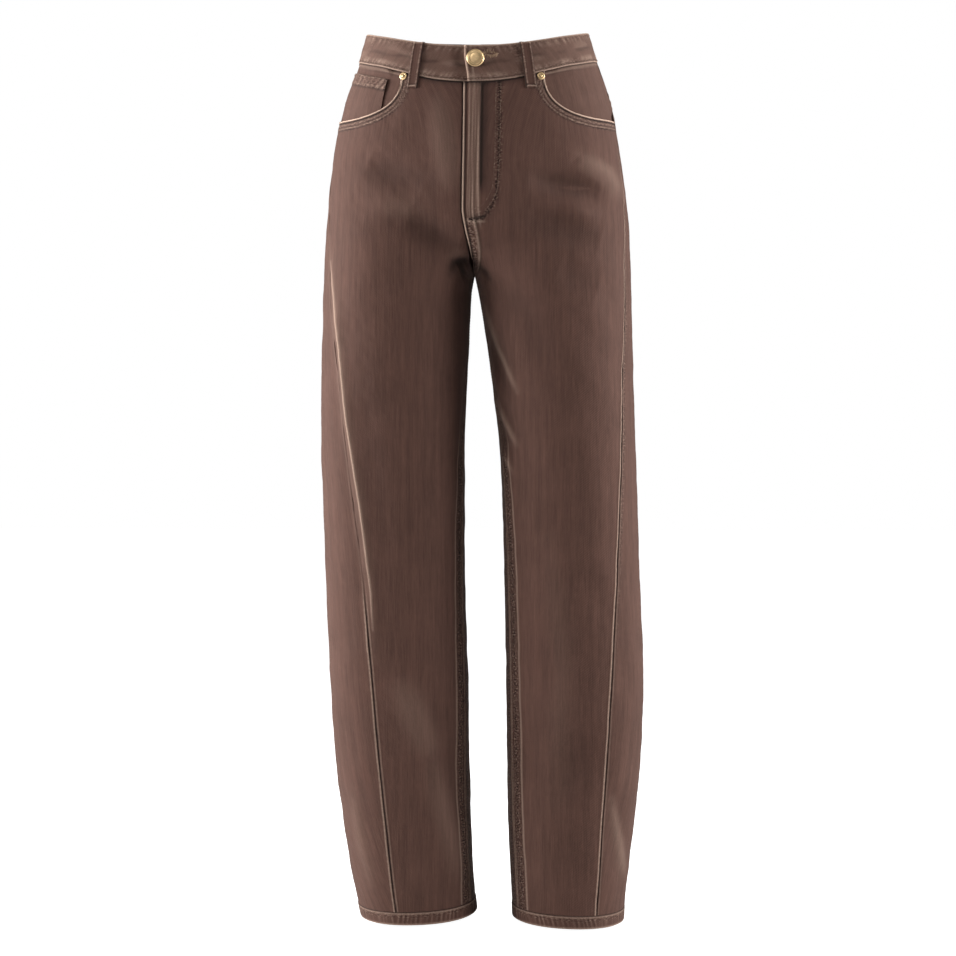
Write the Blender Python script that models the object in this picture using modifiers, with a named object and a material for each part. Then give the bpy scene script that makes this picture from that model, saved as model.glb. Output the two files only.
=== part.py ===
"""Barrel leg trousers in heavy cotton twill: high waist, five pockets, zip fly under a shank button.

They are worn by nobody: the cloth keeps the hollow form that it has round a body. Every panel is
a loft over the same two sets of sections, one round the torso and one round each leg, which run
into each other along the crotch seam. Left and right are the wearer's own, so +X is left, -Y is
the front, and the origin is the middle of the waist opening, half way down the waistband. Heights
are given as a drop below the top of the sides. Sizes are in millimetres, and meshes in metres.
"""

import math

import bmesh
import bpy
import numpy as np
from mathutils import Vector

MM = 0.001
COLLECTION = "barrel_leg_trousers"

# Colours, as linear red, green and blue
TWILL = (0.112, 0.062, 0.048)
FACING_TWILL = (0.140, 0.082, 0.066)
BRASS = (0.60, 0.42, 0.19)

# Cloth and clearances
CLOTH = 1.2
BAND_WALL = 2.4
BAND_PROUD = 0.5
GAP = 0.3
LAYER_GAP = 0.8

# Heights, as drops below the top of the sides
ORIGIN_DROP = 18.0
BLOCK_END = 150.0
FRONT_RISE_START = 195.0
BACK_RISE_START = 150.0
CROTCH = 265.0
CROTCH_AT_SIDE = 320.0
CATCH_UP = 90.0
TILT_START = 800.0
TILT_LENGTH = 150.0

# How square a section is: 2 is an ellipse
TORSO_SQUARENESS = 2.25
LEG_SQUARENESS = 2.15

# Grid of a panel
COLUMNS = 14
BLOCK_ROWS = 6
RISE_ROWS = 12
LEG_ROWS = 20
POCKET_SAMPLES = 36
SIDE_ROWS = BLOCK_ROWS + RISE_ROWS

# Front: pocket mouth, fly and closure
MOUTH_WIDTH = 76.0
MOUTH_DROP = 99.0
MOUTH_SQUARENESS = 2.45
MOUTH_COLUMN = 9
FACING_BELOW_MOUTH = 26.0
FACING_PAST_MOUTH = 9.0
FACING_SLOPE = 14.0
FACING_FROM_SEAM = 0.4
FLY_LAP = 9.0
SHIELD_HALF_WIDTH = 21.0
SHIELD_LENGTH = 128.0
UNDERLAP = 26.0
UNDERLAP_STEP = (16.0, 14.0)
BUTTON_SPOT = (2.7, 36.0)
BUTTON_DIAMETER = 20.0
RIVET_SPOT = (75.0, 5.0)
RIVET_DIAMETER = 8.6
COIN_POCKET = {"top": 11.0, "inner": 92.0, "above_facing": 18.0, "from_seam": 1.5}

# Back: yoke and patch pockets
YOKE_AT_SIDE = 72.0
YOKE_AT_CENTRE = 106.0
POCKET = {
    "x": 76.0,
    "top": 124.0,
    "top_half": 52.0,
    "low_half": 44.0,
    "sides": 116.0,
    "point": 22.0,
    "outer_drop": 3.0,
}

# Belt loops and hems
LOOP_WIDTH = 11.8
LOOP_THICK = 1.6
LOOP_BELOW_SEAM = 15.0
HEM_BAND = 15.0


class Table:
    """Rows of sizes under named columns, read between the rows on a smooth curve."""

    def __init__(self, columns, rows):
        self.columns = columns
        self.rows = np.array(rows, float)

    def __call__(self, column, at):
        knots = self.rows[:, 0]
        values = self.rows[:, self.columns.index(column)]
        slopes = np.gradient(values, knots)
        at = np.clip(at, knots[0], knots[-1])
        i = np.clip(np.searchsorted(knots, at) - 1, 0, len(knots) - 2)
        span = knots[i + 1] - knots[i]
        t = (at - knots[i]) / span
        rise = values[i + 1] - values[i]
        start = slopes[i] * span
        end = slopes[i + 1] * span
        return values[i] + t * (start + t * ((3 * rise - 2 * start - end) + t * (start + end - 2 * rise)))


# The torso at each level: its outer lines, its centre line, and the front, back and side depth.
TORSO = Table(
    ("drop", "right_x", "left_x", "centre_x", "front_y", "back_y", "side_y"),
    [
        (-6, -121.2, 121.4, -1.5, -91, 91, 0),
        (16, -127.4, 128.1, -1.5, -93, 95, 0),
        (38, -134.2, 135.2, -1.5, -95, 99, 1),
        (72, -147.4, 147.1, -1.6, -99, 107, 2),
        (116, -157.5, 156.1, -1.9, -103, 118, 4),
        (161, -164.2, 162.8, -2.4, -106, 128, 6),
        (206, -168.7, 168.4, -3.2, -105, 132, 8),
        (265, -172.4, 171.2, -4.0, -100, 124, 9),
        (330, -174.2, 172.6, -4.0, -93, 110, 8),
    ],
)

LEG_COLUMNS = ("drop", "outer_x", "inner_x", "front_y", "back_y", "mid_y")
LEGS = {
    "right": Table(
        LEG_COLUMNS,
        [
            (150, -162.6, -2.3, -105, 125, 6),
            (206, -168.7, -3.1, -105, 131, 8),
            (265, -172.4, -4.0, -100, 122, 9),
            (290, -173.2, -7.4, -97, 114, 9),
            (318, -173.8, -9.0, -94, 106, 8),
            (363, -174.9, -10.8, -91, 97, 6),
            (408, -175.4, -13.0, -89, 90, 4),
            (452, -175.2, -14.2, -87, 85, 2),
            (520, -173.2, -14.3, -84, 79, 0),
            (587, -170.9, -14.2, -81, 76, -1),
            (654, -168.4, -12.7, -78, 76, 0),
            (721, -165.4, -10.4, -76, 78, 1),
            (788, -161.6, -9.5, -74, 79, 2),
            (833, -157.0, -8.6, -73, 79, 3),
            (878, -151.0, -7.4, -71, 77, 3),
            (923, -143.8, -5.9, -69, 75, 3),
            (968, -134.6, -2.6, -67, 72, 3),
            (990, -129.8, 0.2, -66, 71, 3),
        ],
    ),
    "left": Table(
        LEG_COLUMNS,
        [
            (150, 161.6, -2.3, -105, 125, 6),
            (206, 168.4, -3.1, -105, 131, 8),
            (265, 171.2, -4.0, -100, 122, 9),
            (290, 171.8, 1.2, -97, 114, 9),
            (318, 172.4, 6.0, -94, 106, 8),
            (363, 173.5, 12.7, -91, 97, 6),
            (408, 175.1, 18.6, -89, 90, 4),
            (452, 176.8, 23.9, -87, 85, 2),
            (520, 178.8, 27.8, -84, 79, 0),
            (587, 181.0, 29.5, -81, 76, -1),
            (654, 183.8, 31.0, -78, 76, 0),
            (721, 186.0, 32.1, -76, 78, 1),
            (788, 184.4, 32.9, -74, 79, 2),
            (833, 181.0, 33.4, -73, 79, 3),
            (878, 176.0, 34.2, -71, 77, 3),
            (923, 170.4, 36.1, -69, 75, 3),
            (968, 165.3, 38.4, -67, 72, 3),
            (990, 164.0, 39.2, -66, 71, 3),
        ],
    ),
}

# How far each seam lies forward of the leg's outermost or innermost line, in degrees.
SEAMS = Table(
    ("drop", "right_side", "left_side", "right_inseam", "left_inseam"),
    [
        (-6, -4, 0, 0, 0),
        (95, 0, 6, 0, 0),
        (160, 8, 11, 0, 0),
        (206, 17, 14, 0, 0),
        (251, 27, 20, 0, 0),
        (318, 38, 26, 0, 3),
        (374, 48, 32, 3, 10),
        (441, 55, 37, 8, 17),
        (520, 62, 43, 12, 22),
        (600, 69, 49, 14, 24.6),
        (676, 72, 55.5, 16, 25),
        (751, 74.5, 60, 17.5, 25.5),
        (830, 76.5, 61.5, 19, 27),
        (910, 77, 60.5, 20.5, 29.5),
        (990, 75, 60, 21, 31),
    ],
)

# The waistband by the sine of the angle round the waist: -1 centre back, 0 side, 1 centre front.
WAIST = Table(
    ("sine", "top_drop", "height"),
    [
        (-1, 1.5, 36),
        (-0.5, -1.3, 33),
        (0, 0, 32),
        (0.5, 5.8, 32.2),
        (0.75, 11.2, 33),
        (0.9, 16.5, 35.5),
        (1, 21.3, 39.5),
    ],
)

# Hem of each leg: drop at its middle, and its fall towards the front and the outer side.
HEMS = {
    "right": {"drop": 982.5, "forward": 0.079, "outward": 0.038},
    "left": {"drop": 987.0, "forward": 0.052, "outward": 0.040},
}

# Creases of the cloth: a soft ridge (above 0) or trough (below 0) along a line on one face.
# Columns: face, x and drop where it starts, x and drop where it ends, half width, depth.
FOLDS = [
    ("front", 58, 170, 150, 178, 13, -4.5),
    ("front", 108, 146, 162, 188, 12, 3.0),
    ("front", 58, 204, 142, 226, 15, -4.0),
    ("front", 92, 199, 140, 208, 10, 2.0),
    ("front", 90, 268, 136, 288, 14, -2.5),
    ("front", -118, 148, -55, 180, 18, -3.0),
    ("front", -74, 214, -14, 238, 17, -3.5),
    ("front", -38, 66, -22, 190, 15, 3.0),
    ("front", 18, 334, 38, 384, 9, -2.5),
    ("front", 26, 405, 50, 455, 9, -2.5),
    ("front", -84, 708, -46, 806, 17, 3.0),
    ("front", -50, 796, -14, 956, 14, 2.5),
    ("front", 124, 772, 90, 850, 17, -3.0),
    ("front", 152, 840, 162, 950, 12, -2.5),
    ("back", -124, 286, -40, 312, 16, -4.0),
    ("back", 36, 308, 118, 284, 16, -4.0),
    ("back", -24, 334, -94, 404, 14, -3.0),
    ("back", 32, 330, 98, 398, 14, -3.0),
    ("back", -136, 602, -58, 616, 15, -3.0),
    ("back", 62, 640, 146, 624, 15, -3.0),
    ("back", -96, 800, -52, 944, 16, 2.5),
    ("back", 82, 816, 112, 950, 16, 2.5),
]

# Belt loops: half of the waist, face, distance of top and foot from the centre line.
LOOPS = [
    ("belt_loop_front_right", "right", "front", 57.5, 65.0),
    ("belt_loop_front_left", "left", "front", 57.5, 65.0),
    ("belt_loop_back_right", "right", "back", 88.0, 92.0),
    ("belt_loop_back_left", "left", "back", 88.0, 92.0),
    ("belt_loop_centre_back", "left", "back", 0.0, 0.0),
]

# How far a loop's inner face stands off the base surface, down its length.
LOOP_STAND_OFF = Table(
    ("share", "offset"), [(0, 0.85), (0.12, 1.7), (0.6, 1.7), (0.84, 1.1), (1, 0.4)]
)

SIGN = {"right": -1, "left": 1}
FACE = {"front": 1, "back": -1}


def smooth(t):
    """0 to 1 with level ends."""
    t = np.clip(t, 0, 1)
    return t * t * (3 - 2 * t)


def section(half_width, centre_x, mid_y, front_y, back_y, squareness, angle):
    """A point of a level section: angle 0 is its outermost line, 90 degrees its front."""
    cos, sin = np.cos(angle), np.sin(angle)
    depth = np.where(sin > 0, front_y - mid_y, back_y - mid_y)
    x = centre_x + half_width * np.sign(cos) * np.abs(cos) ** (2 / squareness)
    y = mid_y + depth * np.abs(sin) ** (2 / squareness)
    return x, y


def on_torso(half, drop, angle):
    centre = TORSO("centre_x", drop)
    half_width = TORSO(half + "_x", drop) - centre
    depths = [TORSO(column, drop) for column in ("side_y", "front_y", "back_y")]
    return section(half_width, centre, *depths, TORSO_SQUARENESS, angle)


def on_leg(half, drop, angle):
    outer, inner = (LEGS[half](column, drop) for column in ("outer_x", "inner_x"))
    inner = np.where(drop < CROTCH, TORSO("centre_x", drop), inner)
    depths = [LEGS[half](column, drop) for column in ("mid_y", "front_y", "back_y")]
    return section((outer - inner) / 2, (outer + inner) / 2, *depths, LEG_SQUARENESS, angle)


def seam_offset(face, drop):
    """Distance of the centre seam from the centre line: the left front laps over the right."""
    if face == "back":
        return 0 * drop
    return -FLY_LAP * (1 - smooth((drop - FRONT_RISE_START) / (CROTCH - FRONT_RISE_START)))


def side_angle(half, drop):
    return np.radians(SEAMS(half + "_side", drop))


def centre_angle(half, face, drop):
    """Angle at which a torso section meets the centre seam."""
    width = np.abs(TORSO(half + "_x", drop) - TORSO("centre_x", drop))
    reach = SIGN[half] * seam_offset(face, drop) + GAP / 2
    share = np.abs(reach / width) ** (TORSO_SQUARENESS / 2) * np.sign(reach)
    return FACE[face] * (np.pi / 2 - np.arcsin(share))


def inseam_angle(half, face, drop):
    return FACE[face] * np.pi - np.radians(SEAMS(half + "_inseam", drop))


def even_shares(curve, half, drop, start, end, shares):
    """Shares of an arc's length as shares of its angle, so that a panel's columns lie evenly."""
    steps = np.linspace(0, 1, 121)
    x, y = curve(half, drop, start + (end - start) * steps)
    length = np.concatenate([[0], np.cumsum(np.hypot(np.diff(x), np.diff(y)))])
    return np.interp(shares * length[-1], length, steps)


def inner_drop(face, side_drop):
    """Drop of a row's inner end: rows climb towards the crotch and level out down the leg."""
    start = FRONT_RISE_START if face == "front" else BACK_RISE_START
    if side_drop <= start:
        return side_drop, 0.0
    if side_drop <= CROTCH_AT_SIDE:
        turn = (side_drop - start) / (CROTCH_AT_SIDE - start) * np.pi / 2
        return start + (CROTCH - start) * np.sin(turn), 1 - np.cos(turn)
    lag = (CROTCH_AT_SIDE - CROTCH) * np.exp((CROTCH_AT_SIDE - side_drop) / CATCH_UP)
    return side_drop - lag, 1.0


def height(half, x, y, drop):
    """z of a point: the hems tilt, and the tilt fades out up the leg."""
    hem = HEMS[half]
    middle = (LEGS[half]("outer_x", hem["drop"]) + LEGS[half]("inner_x", hem["drop"])) / 2
    tilt = hem["forward"] * y - hem["outward"] * SIGN[half] * (x - middle)
    return ORIGIN_DROP - drop + smooth((drop - TILT_START) / TILT_LENGTH) * tilt


def row_points(half, face, side_drop, shares):
    """Points of one row of a panel, from the side seam (share 0) to the centre seam or inseam."""
    in_drop, in_weight = inner_drop(face, side_drop)
    drop = side_drop - (side_drop - in_drop) * shares**3
    side_weight = smooth((side_drop - BLOCK_END) / (CROTCH_AT_SIDE - BLOCK_END))
    weight = side_weight + (in_weight - side_weight) * smooth(shares)
    start = side_angle(half, drop)
    x = y = 0
    for curve, end, part in (
        (on_torso, centre_angle(half, face, drop), 1 - weight),
        (on_leg, inseam_angle(half, face, drop), weight),
    ):
        even = even_shares(curve, half, side_drop, start[0], end[-1], shares)
        curve_x, curve_y = curve(half, drop, start + (end - start) * even)
        x, y = x + part * curve_x, y + part * curve_y
    x = x + SIGN[half] * GAP / 2 * weight * smooth(shares)
    return np.stack([x, y, height(half, x, y, drop)], axis=-1)


def with_normals(grid, half, face):
    """Unit normals of a function's grid, from its own steps along rows and columns."""
    across, down = grid
    normals = np.cross(across, down) * SIGN[half] * FACE[face]
    return normals / np.linalg.norm(normals, axis=-1, keepdims=True)


def lower_rows(half, face, side_drops, shares):
    """Points and normals of a panel below the top block."""
    step, reach = 0.004, 1.0
    points, normals = [], []
    low, high = np.clip(shares - step, 0, 1), np.clip(shares + step, 0, 1)
    for side_drop in side_drops:
        points.append(row_points(half, face, side_drop, shares))
        across = row_points(half, face, side_drop, high) - row_points(half, face, side_drop, low)
        down = row_points(half, face, side_drop + reach, shares) - points[-1]
        normals.append(with_normals((across, down), half, face))
    points = np.array(points)
    edge = points[:, -1:, 0]
    inside = SIGN[half] * (points[..., 0] - edge)
    on_rise = np.array(side_drops)[:, None] <= CROTCH_AT_SIDE
    points[..., 0] += np.where(on_rise, SIGN[half] * np.maximum(-inside, 0), 0)
    normals = np.array(normals)
    return points + folds(points, normals)[..., None] * normals, normals


def torso_points(half, drop, angle, offset=0.0):
    """Points of the torso surface at any drop and angle, moved out along its normal."""
    step = 0.002

    def at(d, a):
        x, y = on_torso(half, d, a)
        return np.stack([x, y, ORIGIN_DROP - d + 0 * x], axis=-1)

    points = at(drop, angle)
    across = at(drop, angle + step) - at(drop, angle - step)
    down = at(drop + 1, angle) - at(drop - 1, angle)
    normals = np.cross(across, down) * SIGN[half]
    normals /= np.linalg.norm(normals, axis=-1, keepdims=True)
    return points + (folds(points, normals)[..., None] + offset) * normals, normals


def waist_seam(angle):
    sine = np.sin(angle)
    return WAIST("top_drop", sine) + WAIST("height", sine)


def angle_at_x(half, drop, distance):
    """Angle on the front of the torso at a distance from the centre line."""
    width = np.abs(TORSO(half + "_x", drop) - TORSO("centre_x", drop))
    share = np.sign(distance) * np.abs(distance / width) ** (TORSO_SQUARENESS / 2)
    return np.pi / 2 - np.arcsin(np.clip(share, -1, 1))


def mouth_corner(half):
    """Drop and angle where the pocket mouth meets the waist seam."""
    drop = 50.0
    for _ in range(8):
        side = np.abs(TORSO(half + "_x", MOUTH_DROP) - TORSO("centre_x", MOUTH_DROP))
        angle = angle_at_x(half, drop, side - MOUTH_WIDTH)
        drop = waist_seam(angle)
    return drop, angle


def mouth_curve(half, turns):
    """The pocket mouth as a quarter ellipse: turn 0 is its inner end, 1 the side seam."""
    corner_drop, _ = mouth_corner(half)
    side = np.abs(TORSO(half + "_x", MOUTH_DROP) - TORSO("centre_x", MOUTH_DROP))
    down, across = (
        np.abs(part) ** (2 / MOUTH_SQUARENESS)
        for part in (np.sin(turns * np.pi / 2), np.cos(turns * np.pi / 2))
    )
    drop = corner_drop + (MOUTH_DROP - corner_drop) * down
    distance = side - MOUTH_WIDTH * across
    angle = np.maximum(angle_at_x(half, drop, distance), side_angle(half, drop))
    return drop, np.where(turns >= 1, side_angle(half, drop), angle)


def mouth_edge(half, columns):
    """Drops and angles along the pocket mouth, evenly spaced from the side seam inwards."""
    turns = np.linspace(1, 0, 121)
    points, _ = torso_points(half, *mouth_curve(half, turns))
    steps = np.linalg.norm(np.diff(points, axis=0), axis=1)
    length = np.concatenate([[0], np.cumsum(steps)])
    return mouth_curve(half, np.interp(np.linspace(0, length[-1], columns + 1), length, turns))


def top_block(half, face, top_drop, top_angle, shares, rows):
    """Rows from a panel's shaped top edge down to its first level row."""
    start, end = side_angle(half, BLOCK_END), centre_angle(half, face, BLOCK_END)
    even = even_shares(on_torso, half, BLOCK_END, start, end, shares)
    start, end = side_angle(half, top_drop), centre_angle(half, face, top_drop)
    top_share = (top_angle - start) / (end - start)
    points, normals = [], []
    for t in np.linspace(0, 1, rows + 1)[:-1]:
        drop = top_drop + (BLOCK_END - top_drop) * t
        share = top_share + (even - top_share) * t
        start, end = side_angle(half, drop), centre_angle(half, face, drop)
        row, normal = torso_points(half, drop, start + (end - start) * share)
        points.append(row)
        normals.append(normal)
    return np.array(points), np.array(normals)


def folds(points, normals):
    """Height of the creases at points of the surface."""
    total = np.zeros(points.shape[:-1])
    for face, x_from, drop_from, x_to, drop_to, half_width, depth in FOLDS:
        start = np.array([x_from, ORIGIN_DROP - drop_from])
        run = np.array([x_to, ORIGIN_DROP - drop_to]) - start
        away = points[..., [0, 2]] - start
        along = away @ run / (run @ run)
        nearest = away - np.clip(along, 0, 1)[..., None] * run
        across = np.linalg.norm(nearest, axis=-1) / half_width
        taper = np.sin(np.pi * np.clip(along, 0.02, 0.98)) ** 0.7
        facing = smooth(-FACE[face] * normals[..., 1] / 0.5)
        total += depth * np.exp(-(across**2)) * taper * facing
    return total


def trim(points, edges):
    """Draws the named edges of a grid in by half a seam gap, along the surface."""
    points = points.copy()
    for edge in edges:
        view = {
            "top": points,
            "bottom": points[::-1],
            "first": points.swapaxes(0, 1),
            "last": points.swapaxes(0, 1)[::-1],
        }[edge]
        inward = view[1] - view[0]
        view[0] += inward / np.linalg.norm(inward, axis=-1, keepdims=True) * GAP / 2
    return points


def material(name, colour, roughness, metallic=0.0):
    made = bpy.data.materials.new(name)
    made.use_nodes = True
    shader = made.node_tree.nodes["Principled BSDF"]
    shader.inputs["Base Color"].default_value = (*colour, 1)
    shader.inputs["Roughness"].default_value = roughness
    shader.inputs["Metallic"].default_value = metallic
    return made


def finish_object(name, mesh, made):
    mesh.shade_smooth()
    mesh.set_sharp_from_angle(angle=math.radians(40))
    mesh.materials.append(made)
    obj = bpy.data.objects.new(name, mesh)
    bpy.data.collections[COLLECTION].objects.link(obj)
    return obj


def wall(name, outer, inner, made, closed=False):
    """A closed body between two like grids, such as the right and wrong side of a panel."""
    rows, columns = outer.shape[:2]
    body = bmesh.new()
    sides = [[[body.verts.new(p * MM) for p in row] for row in grid] for grid in (outer, inner)]
    last = columns if closed else columns - 1
    for r in range(rows - 1):
        for c in range(last):
            d = (c + 1) % columns
            body.faces.new([sides[0][r][c], sides[0][r][d], sides[0][r + 1][d], sides[0][r + 1][c]])
            body.faces.new([sides[1][r][c], sides[1][r + 1][c], sides[1][r + 1][d], sides[1][r][d]])
    for r in (0, rows - 1):
        for c in range(last):
            d = (c + 1) % columns
            body.faces.new([sides[0][r][c], sides[1][r][c], sides[1][r][d], sides[0][r][d]])
    for c in () if closed else (0, columns - 1):
        for r in range(rows - 1):
            body.faces.new([sides[0][r][c], sides[0][r + 1][c], sides[1][r + 1][c], sides[1][r][c]])
    bmesh.ops.recalc_face_normals(body, faces=body.faces)
    mesh = bpy.data.meshes.new(name)
    body.to_mesh(mesh)
    body.free()
    if signed_volume(mesh) < 0:
        mesh.flip_normals()
    return finish_object(name, mesh, made)


def signed_volume(mesh):
    mesh.calc_loop_triangles()
    corners = [[mesh.vertices[i].co for i in triangle.vertices] for triangle in mesh.loop_triangles]
    return sum(a.dot(b.cross(c)) for a, b, c in corners)


def side_drops(half):
    """Drops at the side seam of every row below the top block, down to the hem band."""
    rise = np.linspace(BLOCK_END, CROTCH_AT_SIDE, RISE_ROWS + 1)
    leg = np.linspace(CROTCH_AT_SIDE, HEMS[half]["drop"] - HEM_BAND, LEG_ROWS + 1)
    return np.concatenate([rise, leg[1:]])


def panel_grid(half, face, top_drop, top_angle, columns=COLUMNS):
    """Points and normals of a whole front or back panel."""
    shares = np.linspace(0, 1, columns + 1)
    block = top_block(half, face, top_drop, top_angle, shares, BLOCK_ROWS)
    lower = lower_rows(half, face, side_drops(half), shares)
    return tuple(np.concatenate(pair) for pair in zip(block, lower))


def front_panel(half, made):
    mouth_drop, mouth_angle = mouth_edge(half, MOUTH_COLUMN)
    _, corner = mouth_corner(half)
    inner = np.linspace(0, 1, COLUMNS - MOUTH_COLUMN + 1)[1:]
    seam = waist_seam(np.pi / 2)
    seam_angle = corner + (centre_angle(half, "front", seam) - corner) * inner
    top_angle = np.concatenate([mouth_angle, seam_angle])
    top_drop = np.concatenate([mouth_drop, waist_seam(seam_angle) + GAP / 2])
    points, normals = panel_grid(half, "front", top_drop, top_angle)
    points = trim(points, ["first", "bottom"])
    points[SIDE_ROWS:, -1] = trim(points, ["last"])[SIDE_ROWS:, -1]
    return wall(f"front_panel_{half}", points, points - CLOTH * normals, made)


def yoke_seam(half, columns=COLUMNS):
    """Drops and angles along the seam between yoke and back panel."""
    shares = np.linspace(0, 1, columns + 1)
    drop = YOKE_AT_SIDE + (YOKE_AT_CENTRE - YOKE_AT_SIDE) * shares
    start, end = side_angle(half, drop), centre_angle(half, "back", drop)
    even = even_shares(on_torso, half, YOKE_AT_SIDE, start[0], end[-1], shares)
    return drop, start + (end - start) * even


def back_panel(half, made):
    drop, angle = yoke_seam(half)
    points, normals = panel_grid(half, "back", drop + GAP / 2, angle)
    points = trim(points, ["first", "bottom"])
    points[SIDE_ROWS:, -1] = trim(points, ["last"])[SIDE_ROWS:, -1]
    return wall(f"back_panel_{half}", points, points - CLOTH * normals, made)


def yoke(half, made):
    low_drop, low_angle = yoke_seam(half)
    shift = side_angle(half, waist_seam(0)) - low_angle[0]
    top_angle = low_angle + shift * (1 - np.linspace(0, 1, COLUMNS + 1))
    top_drop = waist_seam(top_angle) + GAP / 2
    rows = np.linspace(0, 1, 4)[:, None]
    drop = top_drop + (low_drop - GAP / 2 - top_drop) * rows
    angle = top_angle + (low_angle - top_angle) * rows
    points, normals = torso_points(half, drop, angle)
    points = trim(points, ["first"])
    return wall(f"yoke_{half}", points, points - CLOTH * normals, made)


def pocket_facing(half, made):
    """The cloth behind a pocket mouth, which runs on under the front panel."""
    depth = CLOTH + LAYER_GAP if half == "left" else 2 * (CLOTH + LAYER_GAP)
    columns = np.linspace(0, 1, 9)
    rows = np.linspace(0, 1, 7)[:, None]
    corner_drop, corner = mouth_corner(half)
    inner = angle_at_x(half, corner_drop, RIVET_SPOT[0] - FACING_PAST_MOUTH)
    start = side_angle(half, corner_drop) + np.radians(FACING_FROM_SEAM)
    angle = start + (inner - start) * columns
    top = waist_seam(angle) + GAP / 2
    low = MOUTH_DROP + FACING_BELOW_MOUTH - FACING_SLOPE * columns**2
    drop = top + (low - top) * rows
    points, normals = torso_points(half, drop, angle + 0 * drop, -depth)
    return wall(f"pocket_facing_{half}", points, points - CLOTH * normals, made)


def coin_pocket(made):
    """The small patch in the right pocket: its hemmed top shows in the mouth."""
    half = "right"
    columns = np.linspace(0, 1, 8)
    rows = np.linspace(0, 1, 6)[:, None]
    corner_drop, _ = mouth_corner(half)
    inner = angle_at_x(half, corner_drop, COIN_POCKET["inner"])
    start = side_angle(half, corner_drop) + np.radians(COIN_POCKET["from_seam"])
    angle = start + (inner - start) * columns
    top = waist_seam(angle) + COIN_POCKET["top"]
    low = MOUTH_DROP + FACING_BELOW_MOUTH - COIN_POCKET["above_facing"]
    drop = top + (low - top) * rows
    points, normals = torso_points(half, drop, angle + 0 * drop, -(CLOTH + LAYER_GAP))
    return wall("coin_pocket", points, points - CLOTH * normals, made)


def fly_shield(made):
    """The strip of cloth behind the zip."""
    reach = np.linspace(SHIELD_HALF_WIDTH, -SHIELD_HALF_WIDTH, 5)
    seam = waist_seam(np.pi / 2)
    drop = np.linspace(seam + 2 * GAP, seam + SHIELD_LENGTH, 8)[:, None]
    angle = angle_at_x("left", drop, reach)
    points, normals = torso_points("left", drop + 0 * angle, angle, -(CLOTH + LAYER_GAP))
    return wall("fly_shield", points, points - CLOTH * normals, made)


def waistband(made):
    """One strip round the waist, whose left end laps over its right end at the front."""
    seam = waist_seam(np.pi / 2)
    rows = np.linspace(0, 1, 3)[:, None]
    grids = []
    for half, lap in (("right", UNDERLAP), ("left", FLY_LAP)):
        front = angle_at_x(half, seam, -lap)
        angle = np.linspace(front, -np.pi / 2, 31)
        top = WAIST("top_drop", np.sin(angle))
        drop = top + (waist_seam(angle) - GAP / 2 - top) * rows
        wide = angle + 0 * drop
        base, _ = torso_points(half, drop, wide)
        under = BAND_WALL + GAP if half == "right" else 0
        beyond = base[..., 0] - TORSO("centre_x", drop)
        sink = under * smooth((beyond + FLY_LAP + UNDERLAP_STEP[0]) / UNDERLAP_STEP[1])
        outer, normals = torso_points(half, drop, wide)
        outer += (BAND_PROUD - sink)[..., None] * normals
        grids.append((outer, outer - BAND_WALL * normals))
    outer, inner = (
        np.concatenate([right, left[:, -2::-1]], axis=1) for right, left in zip(*grids)
    )
    return wall("waistband", outer, inner, made)


def belt_loop(name, half, face, top_x, foot_x, made):
    share = np.linspace(0, 1, 10)[:, None]
    across = np.linspace(-LOOP_WIDTH / 2, LOOP_WIDTH / 2, 3)
    distance = top_x + (foot_x - top_x) * share + across
    middle = FACE[face] * angle_at_x(half, waist_seam(np.pi / 4), (top_x + foot_x) / 2)
    top = WAIST("top_drop", np.sin(middle)) + 0.5
    drop = top + (waist_seam(middle) + LOOP_BELOW_SEAM - top) * share + 0 * distance
    angle = FACE[face] * angle_at_x(half, drop, distance)
    points, normals = torso_points(half, drop, angle)
    inner = points + (LOOP_STAND_OFF("offset", share) + 0 * distance)[..., None] * normals
    return wall(name, inner + LOOP_THICK * normals, inner, made)


def hem_band(half, made):
    """The turned-up hem: a ring round both panels' lower edges."""
    shares = np.linspace(0, 1, COLUMNS + 1)
    start = HEMS[half]["drop"] - HEM_BAND + GAP / 2
    drops = np.linspace(start, start + HEM_BAND, 3)
    front, front_normals = lower_rows(half, "front", drops, shares)
    back, back_normals = lower_rows(half, "back", drops, shares)
    points = np.concatenate([front, back[:, -2:0:-1]], axis=1)
    normals = np.concatenate([front_normals, back_normals[:, -2:0:-1]], axis=1)
    points = points + BAND_PROUD * normals
    return wall(f"hem_band_{half}", points, points - BAND_WALL * normals, made, closed=True)


def back_pocket(half, made):
    """A patch pocket laid on the back panel: straight top, sides drawn in, pointed foot."""
    drop, angle = yoke_seam(half, POCKET_SAMPLES)
    points, normals = panel_grid(half, "back", drop, angle, POCKET_SAMPLES)
    across = np.linspace(-1, 1, 11)
    down = np.linspace(0, 1, 11)[:, None]
    half_width = POCKET["top_half"] + (POCKET["low_half"] - POCKET["top_half"]) * down
    x = SIGN[half] * (POCKET["x"] + half_width * across) + TORSO("centre_x", POCKET["top"])
    low = POCKET["sides"] + POCKET["point"] * (1 - np.abs(across))
    z = ORIGIN_DROP - POCKET["top"] - low * down + POCKET["outer_drop"] * across
    seat, normal = pick(points, normals, x, z)
    inner = seat + LAYER_GAP * normal
    return wall(f"back_pocket_{half}", inner + CLOTH * normal, inner, made)


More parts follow.
